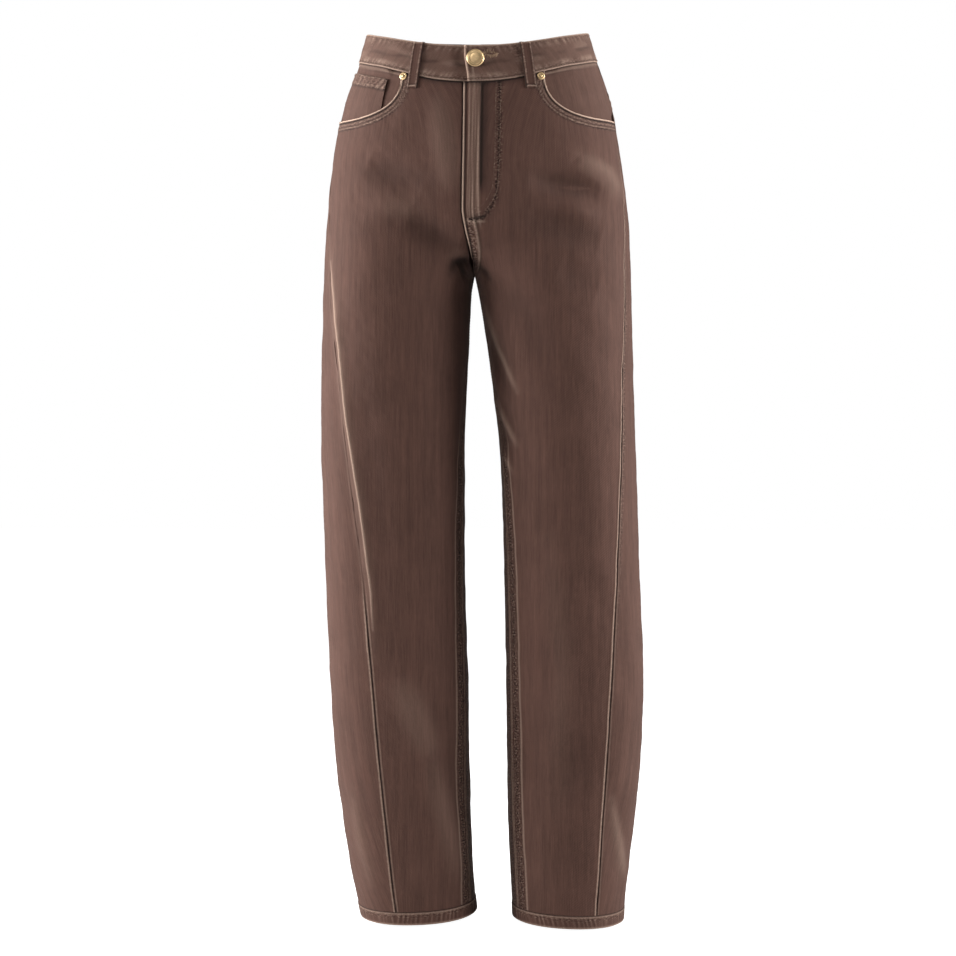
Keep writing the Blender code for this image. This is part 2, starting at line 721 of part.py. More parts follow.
def pick(points, normals, x, z):
    """Points and normals of a grid at given x and z, for what lies on the panel."""
    both = np.concatenate([points, normals], axis=-1)
    found = np.empty((*x.shape, 6))
    for spot in np.ndindex(x.shape):
        column = []
        for row in both:
            order = np.argsort(row[:, 0])
            column.append([np.interp(x[spot], row[order, 0], row[order, k]) for k in range(6)])
        column = np.array(column)[::-1]
        found[spot] = [np.interp(z[spot], column[:, 2], column[:, k]) for k in range(6)]
    normal = found[..., 3:] / np.linalg.norm(found[..., 3:], axis=-1, keepdims=True)
    return found[..., :3], normal


def turned(name, profile, spot, normal, made, steps):
    """A turned metal piece: its profile, radius and height from the cloth, run round its axis."""
    mesh = bpy.data.meshes.new(name)
    mesh.from_pydata(
        [(radius * MM, 0, rise * MM) for radius, rise in profile],
        [(i, i + 1) for i in range(len(profile) - 1)],
        [],
    )
    obj = finish_object(name, mesh, made)
    screw = obj.modifiers.new("turn", "SCREW")
    screw.steps = screw.render_steps = steps
    screw.use_merge_vertices = True
    screw.merge_threshold = 0.00001
    obj.location = spot * MM
    obj.rotation_euler = Vector(normal).to_track_quat("Z", "Y").to_euler()
    return obj


def shank_button(made):
    x, drop = BUTTON_SPOT
    drop = np.array([drop])
    angle = angle_at_x("left", drop, x - TORSO("centre_x", drop))
    points, normals = torso_points("left", drop, angle, BAND_PROUD + GAP)
    r = BUTTON_DIAMETER / 2
    profile = [
        (0, 3.6), (0.45 * r, 3.5), (0.74 * r, 3.2), (0.8 * r, 3.6), (0.92 * r, 3.5),
        (r, 2.6), (0.96 * r, 1.6), (0.5 * r, 1.1), (0.45 * r, 0), (0, 0),
    ]
    return turned("shank_button", profile, points[0], normals[0], made, 28)


def rivet(half, made):
    distance, below = RIVET_SPOT
    drop = np.array([waist_seam(angle_at_x(half, waist_seam(np.pi / 4), distance)) + below])
    angle = angle_at_x(half, drop, distance)
    points, normals = torso_points(half, drop, angle, GAP)
    r = RIVET_DIAMETER / 2
    profile = [(0, 1.5), (0.3 * r, 1.5), (0.42 * r, 0.9), (0.8 * r, 0.9), (r, 0.5), (r, 0), (0, 0)]
    return turned(f"rivet_{half}", profile, points[0], normals[0], made, 16)


def clear_scene():
    for obj in list(bpy.data.objects):
        bpy.data.objects.remove(obj, do_unlink=True)


def main():
    clear_scene()
    bpy.context.scene.collection.children.link(bpy.data.collections.new(COLLECTION))
    twill = material("cotton_twill", TWILL, 0.85)
    facing = material("facing_twill", FACING_TWILL, 0.85)
    brass = material("antique_brass", BRASS, 0.38, 1.0)
    for half in ("right", "left"):
        front_panel(half, twill)
        back_panel(half, twill)
        yoke(half, twill)
        back_pocket(half, twill)
        pocket_facing(half, facing)
        hem_band(half, twill)
        rivet(half, brass)
    coin_pocket(facing)
    fly_shield(twill)
    waistband(twill)
    for name, half, face, top_x, foot_x in LOOPS:
        belt_loop(name, half, face, top_x, foot_x, twill)
    shank_button(brass)


main()
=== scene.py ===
# %% [markdown]
# # Barrel leg trousers
#
# The frame holds the trousers as plain walls of the right size. This lesson dresses them: every
# panel is made again from the same measurements on a fine grid, with the seams, puckers, worn
# edges and stitches that a sewn and washed pair has, and is then lit like the photograph.
# Left and right are the wearer's own: +X is left, -Y is the front. Lengths are in millimetres
# until a mesh is made, which is in metres.

import math

import bpy
import numpy as np
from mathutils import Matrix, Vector
from mathutils.bvhtree import BVHTree


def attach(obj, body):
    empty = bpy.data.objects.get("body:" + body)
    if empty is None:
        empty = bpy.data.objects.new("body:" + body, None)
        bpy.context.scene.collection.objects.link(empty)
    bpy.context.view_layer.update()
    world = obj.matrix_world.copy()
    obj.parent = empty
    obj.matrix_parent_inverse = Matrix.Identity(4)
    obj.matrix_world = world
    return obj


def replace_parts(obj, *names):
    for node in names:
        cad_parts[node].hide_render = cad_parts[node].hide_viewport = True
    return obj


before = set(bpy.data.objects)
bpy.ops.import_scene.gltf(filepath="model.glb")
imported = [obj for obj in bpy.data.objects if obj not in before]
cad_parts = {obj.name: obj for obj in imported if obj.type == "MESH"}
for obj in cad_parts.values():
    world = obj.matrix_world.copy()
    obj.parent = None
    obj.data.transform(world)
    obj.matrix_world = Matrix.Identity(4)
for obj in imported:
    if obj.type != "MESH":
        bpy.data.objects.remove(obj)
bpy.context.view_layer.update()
print("frame:", ", ".join(sorted(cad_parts)))

# %% [markdown]
# ## The cut
#
# On the real pair these numbers are the pattern: how wide and deep the body is at each level,
# where the seams run, how the hems tilt. They could be traced on the finished solids, but solids
# are coarse, so the same tables are read again here and sampled much more finely.

# %% Sizes
MM = 0.001
CLOTH = 1.2
BAND_WALL = 2.4
BAND_PROUD = 0.5
GAP = 0.3
LAYER_GAP = 0.8
ORIGIN_DROP = 18.0
BLOCK_END = 150.0
FRONT_RISE_START = 195.0
BACK_RISE_START = 150.0
CROTCH = 265.0
CROTCH_AT_SIDE = 320.0
CATCH_UP = 90.0
TILT_START = 800.0
TILT_LENGTH = 150.0
TORSO_SQUARENESS = 2.25
LEG_SQUARENESS = 2.15
MOUTH_WIDTH = 76.0
MOUTH_DROP = 99.0
MOUTH_SQUARENESS = 2.45
MOUTH_SHARE = 9 / 14
FLY_LAP = 9.0
YOKE_AT_SIDE = 72.0
YOKE_AT_CENTRE = 106.0
HEM_BAND = 15.0
SIGN = {"right": -1, "left": 1}
FACE = {"front": 1, "back": -1}
print(f"cloth {CLOTH} mm thick, waistband {BAND_WALL} mm, origin {ORIGIN_DROP} mm below the waist's top")

# %% [markdown]
# ## Tables on a smooth curve
#
# A pattern is drawn through a few measured places with a flexible curve. Straight lines between the
# rows of a table would leave kinks in the cloth, so a table is read on a cubic curve through them.

# %% A table of sizes
class Table:
    """Rows of sizes under named columns, read between the rows on a smooth curve."""

    def __init__(self, columns, rows):
        self.columns = columns
        self.rows = np.array(rows, float)

    def __call__(self, column, at):
        knots = self.rows[:, 0]
        values = self.rows[:, self.columns.index(column)]
        slopes = np.gradient(values, knots)
        at = np.clip(at, knots[0], knots[-1])
        i = np.clip(np.searchsorted(knots, at) - 1, 0, len(knots) - 2)
        span = knots[i + 1] - knots[i]
        t = (at - knots[i]) / span
        rise = values[i + 1] - values[i]
        start = slopes[i] * span
        end = slopes[i + 1] * span
        return values[i] + t * (start + t * ((3 * rise - 2 * start - end) + t * (start + end - 2 * rise)))


# %% [markdown]
# ## The pattern's measurements
#
# Each row gives the level below the waist's top at the side, and the sizes there. Tracing them from
# the coarse solids would lose a little each time, so they are the same rows that shaped the solids.

# %% Torso and legs
# The torso at each level: its outer lines, its centre line, and the front, back and side depth.
TORSO = Table(
    ("drop", "right_x", "left_x", "centre_x", "front_y", "back_y", "side_y"),
    [
        (-6, -121.2, 121.4, -1.5, -91, 91, 0),
        (16, -127.4, 128.1, -1.5, -93, 95, 0),
        (38, -134.2, 135.2, -1.5, -95, 99, 1),
        (72, -147.4, 147.1, -1.6, -99, 107, 2),
        (116, -157.5, 156.1, -1.9, -103, 118, 4),
        (161, -164.2, 162.8, -2.4, -106, 128, 6),
        (206, -168.7, 168.4, -3.2, -105, 132, 8),
        (265, -172.4, 171.2, -4.0, -100, 124, 9),
        (330, -174.2, 172.6, -4.0, -93, 110, 8),
    ],
)

LEG_COLUMNS = ("drop", "outer_x", "inner_x", "front_y", "back_y", "mid_y")
LEGS = {
    "right": Table(
        LEG_COLUMNS,
        [
            (150, -162.6, -2.3, -105, 125, 6),
            (206, -168.7, -3.1, -105, 131, 8),
            (265, -172.4, -4.0, -100, 122, 9),
            (290, -173.2, -7.4, -97, 114, 9),
            (318, -173.8, -9.0, -94, 106, 8),
            (363, -174.9, -10.8, -91, 97, 6),
            (408, -175.4, -13.0, -89, 90, 4),
            (452, -175.2, -14.2, -87, 85, 2),
            (520, -173.2, -14.3, -84, 79, 0),
            (587, -170.9, -14.2, -81, 76, -1),
            (654, -168.4, -12.7, -78, 76, 0),
            (721, -165.4, -10.4, -76, 78, 1),
            (788, -161.6, -9.5, -74, 79, 2),
            (833, -157.0, -8.6, -73, 79, 3),
            (878, -151.0, -7.4, -71, 77, 3),
            (923, -143.8, -5.9, -69, 75, 3),
            (968, -134.6, -2.6, -67, 72, 3),
            (990, -129.8, 0.2, -66, 71, 3),
        ],
    ),
    "left": Table(
        LEG_COLUMNS,
        [
            (150, 161.6, -2.3, -105, 125, 6),
            (206, 168.4, -3.1, -105, 131, 8),
            (265, 171.2, -4.0, -100, 122, 9),
            (290, 171.8, 1.2, -97, 114, 9),
            (318, 172.4, 6.0, -94, 106, 8),
            (363, 173.5, 12.7, -91, 97, 6),
            (408, 175.1, 18.6, -89, 90, 4),
            (452, 176.8, 23.9, -87, 85, 2),
            (520, 178.8, 27.8, -84, 79, 0),
            (587, 181.0, 29.5, -81, 76, -1),
            (654, 183.8, 31.0, -78, 76, 0),
            (721, 186.0, 32.1, -76, 78, 1),
            (788, 184.4, 32.9, -74, 79, 2),
            (833, 181.0, 33.4, -73, 79, 3),
            (878, 176.0, 34.2, -71, 77, 3),
            (923, 170.4, 36.1, -69, 75, 3),
            (968, 165.3, 38.4, -67, 72, 3),
            (990, 164.0, 39.2, -66, 71, 3),
        ],
    ),
}

# %% Seams, waist and hems
# How far each seam lies forward of the leg's outermost or innermost line, in degrees.
SEAMS = Table(
    ("drop", "right_side", "left_side", "right_inseam", "left_inseam"),
    [
        (-6, -4, 0, 0, 0),
        (95, 0, 6, 0, 0),
        (160, 8, 11, 0, 0),
        (206, 17, 14, 0, 0),
        (251, 27, 20, 0, 0),
        (318, 38, 26, 0, 3),
        (374, 48, 32, 3, 10),
        (441, 55, 37, 8, 17),
        (520, 62, 43, 12, 22),
        (600, 69, 49, 14, 24.6),
        (676, 72, 55.5, 16, 25),
        (751, 74.5, 60, 17.5, 25.5),
        (830, 76.5, 61.5, 19, 27),
        (910, 77, 60.5, 20.5, 29.5),
        (990, 75, 60, 21, 31),
    ],
)

# The waistband by the sine of the angle round the waist: -1 centre back, 0 side, 1 centre front.
WAIST = Table(
    ("sine", "top_drop", "height"),
    [
        (-1, 1.5, 36),
        (-0.5, -1.3, 33),
        (0, 0, 32),
        (0.5, 5.8, 32.2),
        (0.75, 11.2, 33),
        (0.9, 16.5, 35.5),
        (1, 21.3, 39.5),
    ],
)

# Hem of each leg: drop at its middle, and its fall towards the front and the outer side.
HEMS = {
    "right": {"drop": 982.5, "forward": 0.079, "outward": 0.038},
    "left": {"drop": 987.0, "forward": 0.052, "outward": 0.040},
}

print("rows of the torso, a leg and the seams:", len(TORSO.rows), len(LEGS["left"].rows), len(SEAMS.rows))

# %% [markdown]
# ## Folds
#
# Worn cloth hangs in folds that run from where it is held: below the pockets, from the crotch, and
# above the hems. Cloth simulation would find folds of its own, but not those in the photograph, so
# each one is listed with a width and a depth that fades out at its ends.

# %% Folds of the cloth
# Creases of the cloth: a soft ridge (above 0) or trough (below 0) along a line on one face.
# Columns: face, x and drop where it starts, x and drop where it ends, half width, depth.
FOLDS = [
    ("front", 58, 170, 150, 178, 13, -4.5),
    ("front", 108, 146, 162, 188, 12, 3.0),
    ("front", 58, 204, 142, 226, 15, -4.0),
    ("front", 92, 199, 140, 208, 10, 2.0),
    ("front", 90, 268, 136, 288, 14, -2.5),
    ("front", -118, 148, -55, 180, 18, -3.0),
    ("front", -74, 214, -14, 238, 17, -3.5),
    ("front", -38, 66, -22, 190, 15, 3.0),
    ("front", 18, 334, 38, 384, 9, -2.5),
    ("front", 26, 405, 50, 455, 9, -2.5),
    ("front", -84, 708, -46, 806, 17, 3.0),
    ("front", -50, 796, -14, 956, 14, 2.5),
    ("front", 124, 772, 90, 850, 17, -3.0),
    ("front", 152, 840, 162, 950, 12, -2.5),
    ("back", -124, 286, -40, 312, 16, -4.0),
    ("back", 36, 308, 118, 284, 16, -4.0),
    ("back", -24, 334, -94, 404, 14, -3.0),
    ("back", 32, 330, 98, 398, 14, -3.0),
    ("back", -136, 602, -58, 616, 15, -3.0),
    ("back", 62, 640, 146, 624, 15, -3.0),
    ("back", -96, 800, -52, 944, 16, 2.5),
    ("back", 82, 816, 112, 950, 16, 2.5),
]
print(f"{len(FOLDS)} folds")

# %% [markdown]
# ## Level sections
#
# Cut across at any level, a body or a leg is a rounded shape between a circle and a square. A drawn
# outline for every level would be many points, so one formula, a superellipse, gives them all.

# %% Level sections
def smooth(t):
    """0 to 1 with level ends."""
    t = np.clip(t, 0, 1)
    return t * t * (3 - 2 * t)


def section(half_width, centre_x, mid_y, front_y, back_y, squareness, angle):
    """A point of a level section: angle 0 is its outermost line, 90 degrees its front."""
    cos, sin = np.cos(angle), np.sin(angle)
    depth = np.where(sin > 0, front_y - mid_y, back_y - mid_y)
    x = centre_x + half_width * np.sign(cos) * np.abs(cos) ** (2 / squareness)
    y = mid_y + depth * np.abs(sin) ** (2 / squareness)
    return x, y


def on_torso(half, drop, angle):
    centre = TORSO("centre_x", drop)
    half_width = TORSO(half + "_x", drop) - centre
    depths = [TORSO(column, drop) for column in ("side_y", "front_y", "back_y")]
    return section(half_width, centre, *depths, TORSO_SQUARENESS, angle)


def on_leg(half, drop, angle):
    outer, inner = (LEGS[half](column, drop) for column in ("outer_x", "inner_x"))
    inner = np.where(drop < CROTCH, TORSO("centre_x", drop), inner)
    depths = [LEGS[half](column, drop) for column in ("mid_y", "front_y", "back_y")]
    return section((outer - inner) / 2, (outer + inner) / 2, *depths, LEG_SQUARENESS, angle)


# %% [markdown]
# ## Where the seams run
#
# Each panel ends at a seam: the side seam on the outer line, the fly or the centre back seam, and
# the inseam. A seam is an angle round the section, so that two panels meet on the same line.

# %% Angles of the seams
def seam_offset(face, drop):
    """Distance of the centre seam from the centre line: the left front laps over the right."""
    if face == "back":
        return 0 * drop
    return -FLY_LAP * (1 - smooth((drop - FRONT_RISE_START) / (CROTCH - FRONT_RISE_START)))


def side_angle(half, drop):
    return np.radians(SEAMS(half + "_side", drop))


def centre_angle(half, face, drop):
    """Angle at which a torso section meets the centre seam."""
    width = np.abs(TORSO(half + "_x", drop) - TORSO("centre_x", drop))
    reach = SIGN[half] * seam_offset(face, drop) + GAP / 2
    share = np.abs(reach / width) ** (TORSO_SQUARENESS / 2) * np.sign(reach)
    return FACE[face] * (np.pi / 2 - np.arcsin(share))


def inseam_angle(half, face, drop):
    return FACE[face] * np.pi - np.radians(SEAMS(half + "_inseam", drop))


def even_shares(curve, half, drop, start, end, shares):
    """Shares of an arc's length as shares of its angle, so that a panel's columns lie evenly."""
    steps = np.linspace(0, 1, 121)
    x, y = curve(half, drop, start + (end - start) * steps)
    length = np.concatenate([[0], np.cumsum(np.hypot(np.diff(x), np.diff(y)))])
    return np.interp(shares * length[-1], length, steps)


KNEE = 520.0
for half in ("right", "left"):
    print(f"{half} side seam at the knee: {SEAMS(half + '_side', KNEE):.0f} degrees forward")


# %% [markdown]
# ## Rows of a panel
#
# A panel is woven from rows that start at the side seam and end at the centre seam or the inseam.
# Level rows would be cut off by the crotch curve, so they climb towards the crotch and level out
# below it, where the torso's section blends into the leg's.

# %% Rows below the hips
def inner_drop(face, side_drop):
    """Drop of a row's inner end: rows climb towards the crotch and level out down the leg."""
    start = FRONT_RISE_START if face == "front" else BACK_RISE_START
    if side_drop <= start:
        return side_drop, 0.0
    if side_drop <= CROTCH_AT_SIDE:
        turn = (side_drop - start) / (CROTCH_AT_SIDE - start) * np.pi / 2
        return start + (CROTCH - start) * np.sin(turn), 1 - np.cos(turn)
    lag = (CROTCH_AT_SIDE - CROTCH) * np.exp((CROTCH_AT_SIDE - side_drop) / CATCH_UP)
    return side_drop - lag, 1.0


def height(half, x, y, drop):
    """z of a point: the hems tilt, and the tilt fades out up the leg."""
    hem = HEMS[half]
    middle = (LEGS[half]("outer_x", hem["drop"]) + LEGS[half]("inner_x", hem["drop"])) / 2
    tilt = hem["forward"] * y - hem["outward"] * SIGN[half] * (x - middle)
    return ORIGIN_DROP - drop + smooth((drop - TILT_START) / TILT_LENGTH) * tilt


def row_points(half, face, side_drop, shares):
    """Points of one row of a panel, from the side seam (share 0) to the centre seam or inseam."""
    in_drop, in_weight = inner_drop(face, side_drop)
    drop = side_drop - (side_drop - in_drop) * shares**3
    side_weight = smooth((side_drop - BLOCK_END) / (CROTCH_AT_SIDE - BLOCK_END))
    weight = side_weight + (in_weight - side_weight) * smooth(shares)
    start = side_angle(half, drop)
    x = y = 0
    for curve, end, part in (
        (on_torso, centre_angle(half, face, drop), 1 - weight),
        (on_leg, inseam_angle(half, face, drop), weight),
    ):
        even = even_shares(curve, half, side_drop, start[0], end[-1], shares)
        curve_x, curve_y = curve(half, drop, start + (end - start) * even)
        x, y = x + part * curve_x, y + part * curve_y
    x = x + SIGN[half] * GAP / 2 * weight * smooth(shares)
    return np.stack([x, y, height(half, x, y, drop)], axis=-1)


def with_normals(grid, half, face):
    """Unit normals of a function's grid, from its own steps along rows and columns."""
    across, down = grid
    normals = np.cross(across, down) * SIGN[half] * FACE[face]
    return normals / np.linalg.norm(normals, axis=-1, keepdims=True)


def lower_rows(half, face, side_drops, shares):
    """Points and normals of a panel below the top block."""
    step, reach = 0.004, 1.0
    points, normals = [], []
    low, high = np.clip(shares - step, 0, 1), np.clip(shares + step, 0, 1)
    for side_drop in side_drops:
        points.append(row_points(half, face, side_drop, shares))
        across = row_points(half, face, side_drop, high) - row_points(half, face, side_drop, low)
        down = row_points(half, face, side_drop + reach, shares) - points[-1]
        normals.append(with_normals((across, down), half, face))
    points = np.array(points)
    edge = points[:, -1:, 0]
    inside = SIGN[half] * (points[..., 0] - edge)
    on_rise = np.array(side_drops)[:, None] <= CROTCH_AT_SIDE
    points[..., 0] += np.where(on_rise, SIGN[half] * np.maximum(-inside, 0), 0)
    normals = np.array(normals)
    return points + folds(points, normals)[..., None] * normals, normals


# %% [markdown]
# ## The waist and the pocket mouths
#
# Above the hips every piece lies on the torso: the waistband, its seam, and the pocket mouth, which
# is cut as a quarter of a rounded ellipse. Each can be given by a level and an angle on the torso.

# %% Places on the torso
def torso_points(half, drop, angle, offset=0.0):
    """Points of the torso surface at any drop and angle, moved out along its normal."""
    step = 0.002

    def at(d, a):
        x, y = on_torso(half, d, a)
        return np.stack([x, y, ORIGIN_DROP - d + 0 * x], axis=-1)

    points = at(drop, angle)
    across = at(drop, angle + step) - at(drop, angle - step)
    down = at(drop + 1, angle) - at(drop - 1, angle)
    normals = np.cross(across, down) * SIGN[half]
    normals /= np.linalg.norm(normals, axis=-1, keepdims=True)
    return points + (folds(points, normals)[..., None] + offset) * normals, normals


def waist_seam(angle):
    sine = np.sin(angle)
    return WAIST("top_drop", sine) + WAIST("height", sine)


def angle_at_x(half, drop, distance):
    """Angle on the front of the torso at a distance from the centre line."""
    width = np.abs(TORSO(half + "_x", drop) - TORSO("centre_x", drop))
    share = np.sign(distance) * np.abs(distance / width) ** (TORSO_SQUARENESS / 2)
    return np.pi / 2 - np.arcsin(np.clip(share, -1, 1))


for where, turn in (("front", np.pi / 2), ("side", 0.0)):
    print(f"waist seam at the {where}: {float(waist_seam(turn)):.1f} mm down")


# %% The pocket mouth
def mouth_corner(half):
    """Drop and angle where the pocket mouth meets the waist seam."""
    drop = 50.0
    for _ in range(8):
        side = np.abs(TORSO(half + "_x", MOUTH_DROP) - TORSO("centre_x", MOUTH_DROP))
        angle = angle_at_x(half, drop, side - MOUTH_WIDTH)
        drop = waist_seam(angle)
    return drop, angle


def mouth_curve(half, turns):
    """The pocket mouth as a quarter ellipse: turn 0 is its inner end, 1 the side seam."""
    corner_drop, _ = mouth_corner(half)
    side = np.abs(TORSO(half + "_x", MOUTH_DROP) - TORSO("centre_x", MOUTH_DROP))
    down, across = (
        np.abs(part) ** (2 / MOUTH_SQUARENESS)
        for part in (np.sin(turns * np.pi / 2), np.cos(turns * np.pi / 2))
    )
    drop = corner_drop + (MOUTH_DROP - corner_drop) * down
    distance = side - MOUTH_WIDTH * across
    angle = np.maximum(angle_at_x(half, drop, distance), side_angle(half, drop))
    return drop, np.where(turns >= 1, side_angle(half, drop), angle)


def mouth_edge(half, shares):
    """Drops and angles along the pocket mouth, at shares of its length from the side seam inwards."""
    turns = np.linspace(1, 0, 121)
    points, _ = torso_points(half, *mouth_curve(half, turns))
    steps = np.linalg.norm(np.diff(points, axis=0), axis=1)
    length = np.concatenate([[0], np.cumsum(steps)])
    return mouth_curve(half, np.interp(shares * length[-1], length, turns))


def top_block(half, face, top_drop, top_angle, shares, down):
    """Rows from a panel's shaped top edge down to its first level row."""
    start, end = side_angle(half, BLOCK_END), centre_angle(half, face, BLOCK_END)
    even = even_shares(on_torso, half, BLOCK_END, start, end, shares)
    start, end = side_angle(half, top_drop), centre_angle(half, face, top_drop)
    top_share = (top_angle - start) / (end - start)
    points, normals = [], []
    for t in down[:-1]:
        drop = top_drop + (BLOCK_END - top_drop) * t
        share = top_share + (even - top_share) * t
        start, end = side_angle(half, drop), centre_angle(half, face, drop)
        row, normal = torso_points(half, drop, start + (end - start) * share)
        points.append(row)
        normals.append(normal)
    return np.array(points), np.array(normals)


def folds(points, normals):
    """Height of the creases at points of the surface."""
    total = np.zeros(points.shape[:-1])
    for face, x_from, drop_from, x_to, drop_to, half_width, depth in FOLDS:
        start = np.array([x_from, ORIGIN_DROP - drop_from])
        run = np.array([x_to, ORIGIN_DROP - drop_to]) - start
        away = points[..., [0, 2]] - start
        along = away @ run / (run @ run)
        nearest = away - np.clip(along, 0, 1)[..., None] * run
        across = np.linalg.norm(nearest, axis=-1) / half_width
        taper = np.sin(np.pi * np.clip(along, 0.02, 0.98)) ** 0.7
        facing = smooth(-FACE[face] * normals[..., 1] / 0.5)
        total += depth * np.exp(-(across**2)) * taper * facing
    return total


corner = mouth_corner("left")
print(f"pocket mouth: from {float(corner[0]):.1f} to {MOUTH_DROP} mm down")

# %% [markdown]
# ## Finer grids
#
# A seam is only a few millimetres wide, so an even grid fine enough to show it would need millions
# of points. Because every seam lies along an edge of a panel, the columns and rows are crowded
# towards the edges instead, and stay wide in the calm middle of the cloth.

# %% Crowded steps
def graded(count, at_start=4.0, at_end=4.0, width=0.06):
    """Steps from 0 to 1, crowded at either end."""
    t = np.linspace(0, 1, 2001)
    density = 1 + at_start * np.exp(-t / width) + at_end * np.exp((t - 1) / width)
    total = np.concatenate([[0], np.cumsum((density[1:] + density[:-1]) / 2)])
    return np.interp(np.linspace(0, total[-1], count + 1), total, t)


def with_step_at(shares, value):
    """The same steps, moved a little so that one of them falls on a value."""
    k = np.argmin(np.abs(shares - value))
    low, high = shares[: k + 1] * value / shares[k], 1 - shares[k:]
    return np.concatenate([low, 1 - high[1:] * (1 - value) / high[0]]), k


print("share of the first of 20 steps:", round(float(graded(20)[1]), 4))


# %% [markdown]
# ## Gathers and waves
#
# A row of stitches draws the cloth up in small gathers, and washing leaves it uneven. A noise
# texture could shade both, but the light must catch real relief, so they are waves that lift points.

# %% Waves, gathers and edges
def ripple(u, v, size, seed):
    """Soft uneven waves between about -1 and 1, the same each time."""
    random = np.random.default_rng(seed)
    total = 0
    for _ in range(7):
        turn, phase = random.uniform(0, 2 * np.pi, 2)
        pace = random.uniform(0.6, 1.5) * 2 * np.pi / size
        total = total + np.sin(pace * (u * np.cos(turn) + v * np.sin(turn)) + phase)
    return total / 3.2


def puckers(along, pitch, seed):
    """The gathers that a row of stitches draws up: waves along the seam that vary in size."""
    wander = 0.45 * ripple(along, 0 * along, 4.2 * pitch, seed)
    size = 0.7 + 0.5 * ripple(along, 0 * along, 3.1 * pitch, seed + 1)
    return size * np.sin(2 * np.pi * (along / pitch + wander))


def bump(distance, at, width):
    return np.exp(-(((distance - at) / width) ** 2))


def roll_off(distance, radius):
    """How far a rounded edge falls away at a distance from it."""
    near = np.clip(1 - distance / radius, 0, 1)
    return -radius * (1 - np.sqrt(1 - near**2))


# %% [markdown]
# ## Cloth as a grid
#
# Cloth could be simulated, but heavy washed twill on these trousers keeps its shape, so each piece
# is a grid of points with its outward normals. Lifting points along the normals makes the seams
# and puckers. Three more numbers go with each point: how worn it is, with painted highlight on
# some ridges; how dark it is from seam dye and from painted shade in grooves, troughs and under
# edges; and how scuffed by stitches. The shader reads them later. The wrong side is a coarser
# grid, joined to the fine one at the rims.

# %% The grid of one piece
class Cloth:
    def __init__(self, points, normals):
        self.points, self.normals = points.copy(), normals
        self.wear_and_painted_highlight = np.zeros(points.shape[:2])
        self.tarnish_dye_and_painted_shade = np.zeros(points.shape[:2])
        across = np.linalg.norm(np.diff(points, axis=1), axis=-1)
        self.first = np.pad(np.cumsum(across, axis=1), ((0, 0), (1, 0)))
        self.last = self.first[:, -1:] - self.first
        down = np.linalg.norm(np.diff(points, axis=0), axis=-1)
        self.top = np.pad(np.cumsum(down, axis=0), ((1, 0), (0, 0)))
        self.bottom = self.top[-1:] - self.top
        self.scruff = np.zeros(points.shape[:2])
        self.u = self.first - self.first[:, points.shape[1] // 2, None]
        self.v = -points[..., 2]

    def hang_grain(self, x, face):
        """Lets the warp run plumb from a line at x, as a leg's grain does."""
        for row in range(len(self.u)):
            seen = FACE[face] * self.normals[row, :, 1] < -0.05
            order = np.argsort(self.points[row, seen, 0])
            across = self.points[row, seen, 0][order]
            self.u[row] = self.first[row] - np.interp(x, across, self.first[row, seen][order])

    def lift(self, height):
        self.points += np.broadcast_to(height, self.wear_and_painted_highlight.shape)[..., None] * self.normals

    def line(self, edge, distance, start=0.0, end=1.0):
        """Points and normals along the piece at a distance from one of its edges."""
        grid = getattr(self, edge)
        both = np.concatenate([self.points, self.normals], axis=-1)
        if edge in ("top", "bottom"):
            grid, both = grid.T, both.swapaxes(0, 1)
        found = []
        for row in range(int(start * len(grid)), int(end * len(grid))):
            order = np.argsort(grid[row])
            found.append([np.interp(distance, grid[row][order], both[row][order, k]) for k in range(6)])
        found = np.array(found)
        return found[:, :3], found[:, 3:]


# %% A mesh from a grid
INSIDE_STEP = 4


def rim(fine, coarse, step):
    """Faces that join a fine edge of one side to the coarse edge of the other."""
    return [
        [coarse[k + 1], coarse[k], *fine[k * step : (k + 1) * step + 1]] for k in range(len(coarse) - 1)
    ]


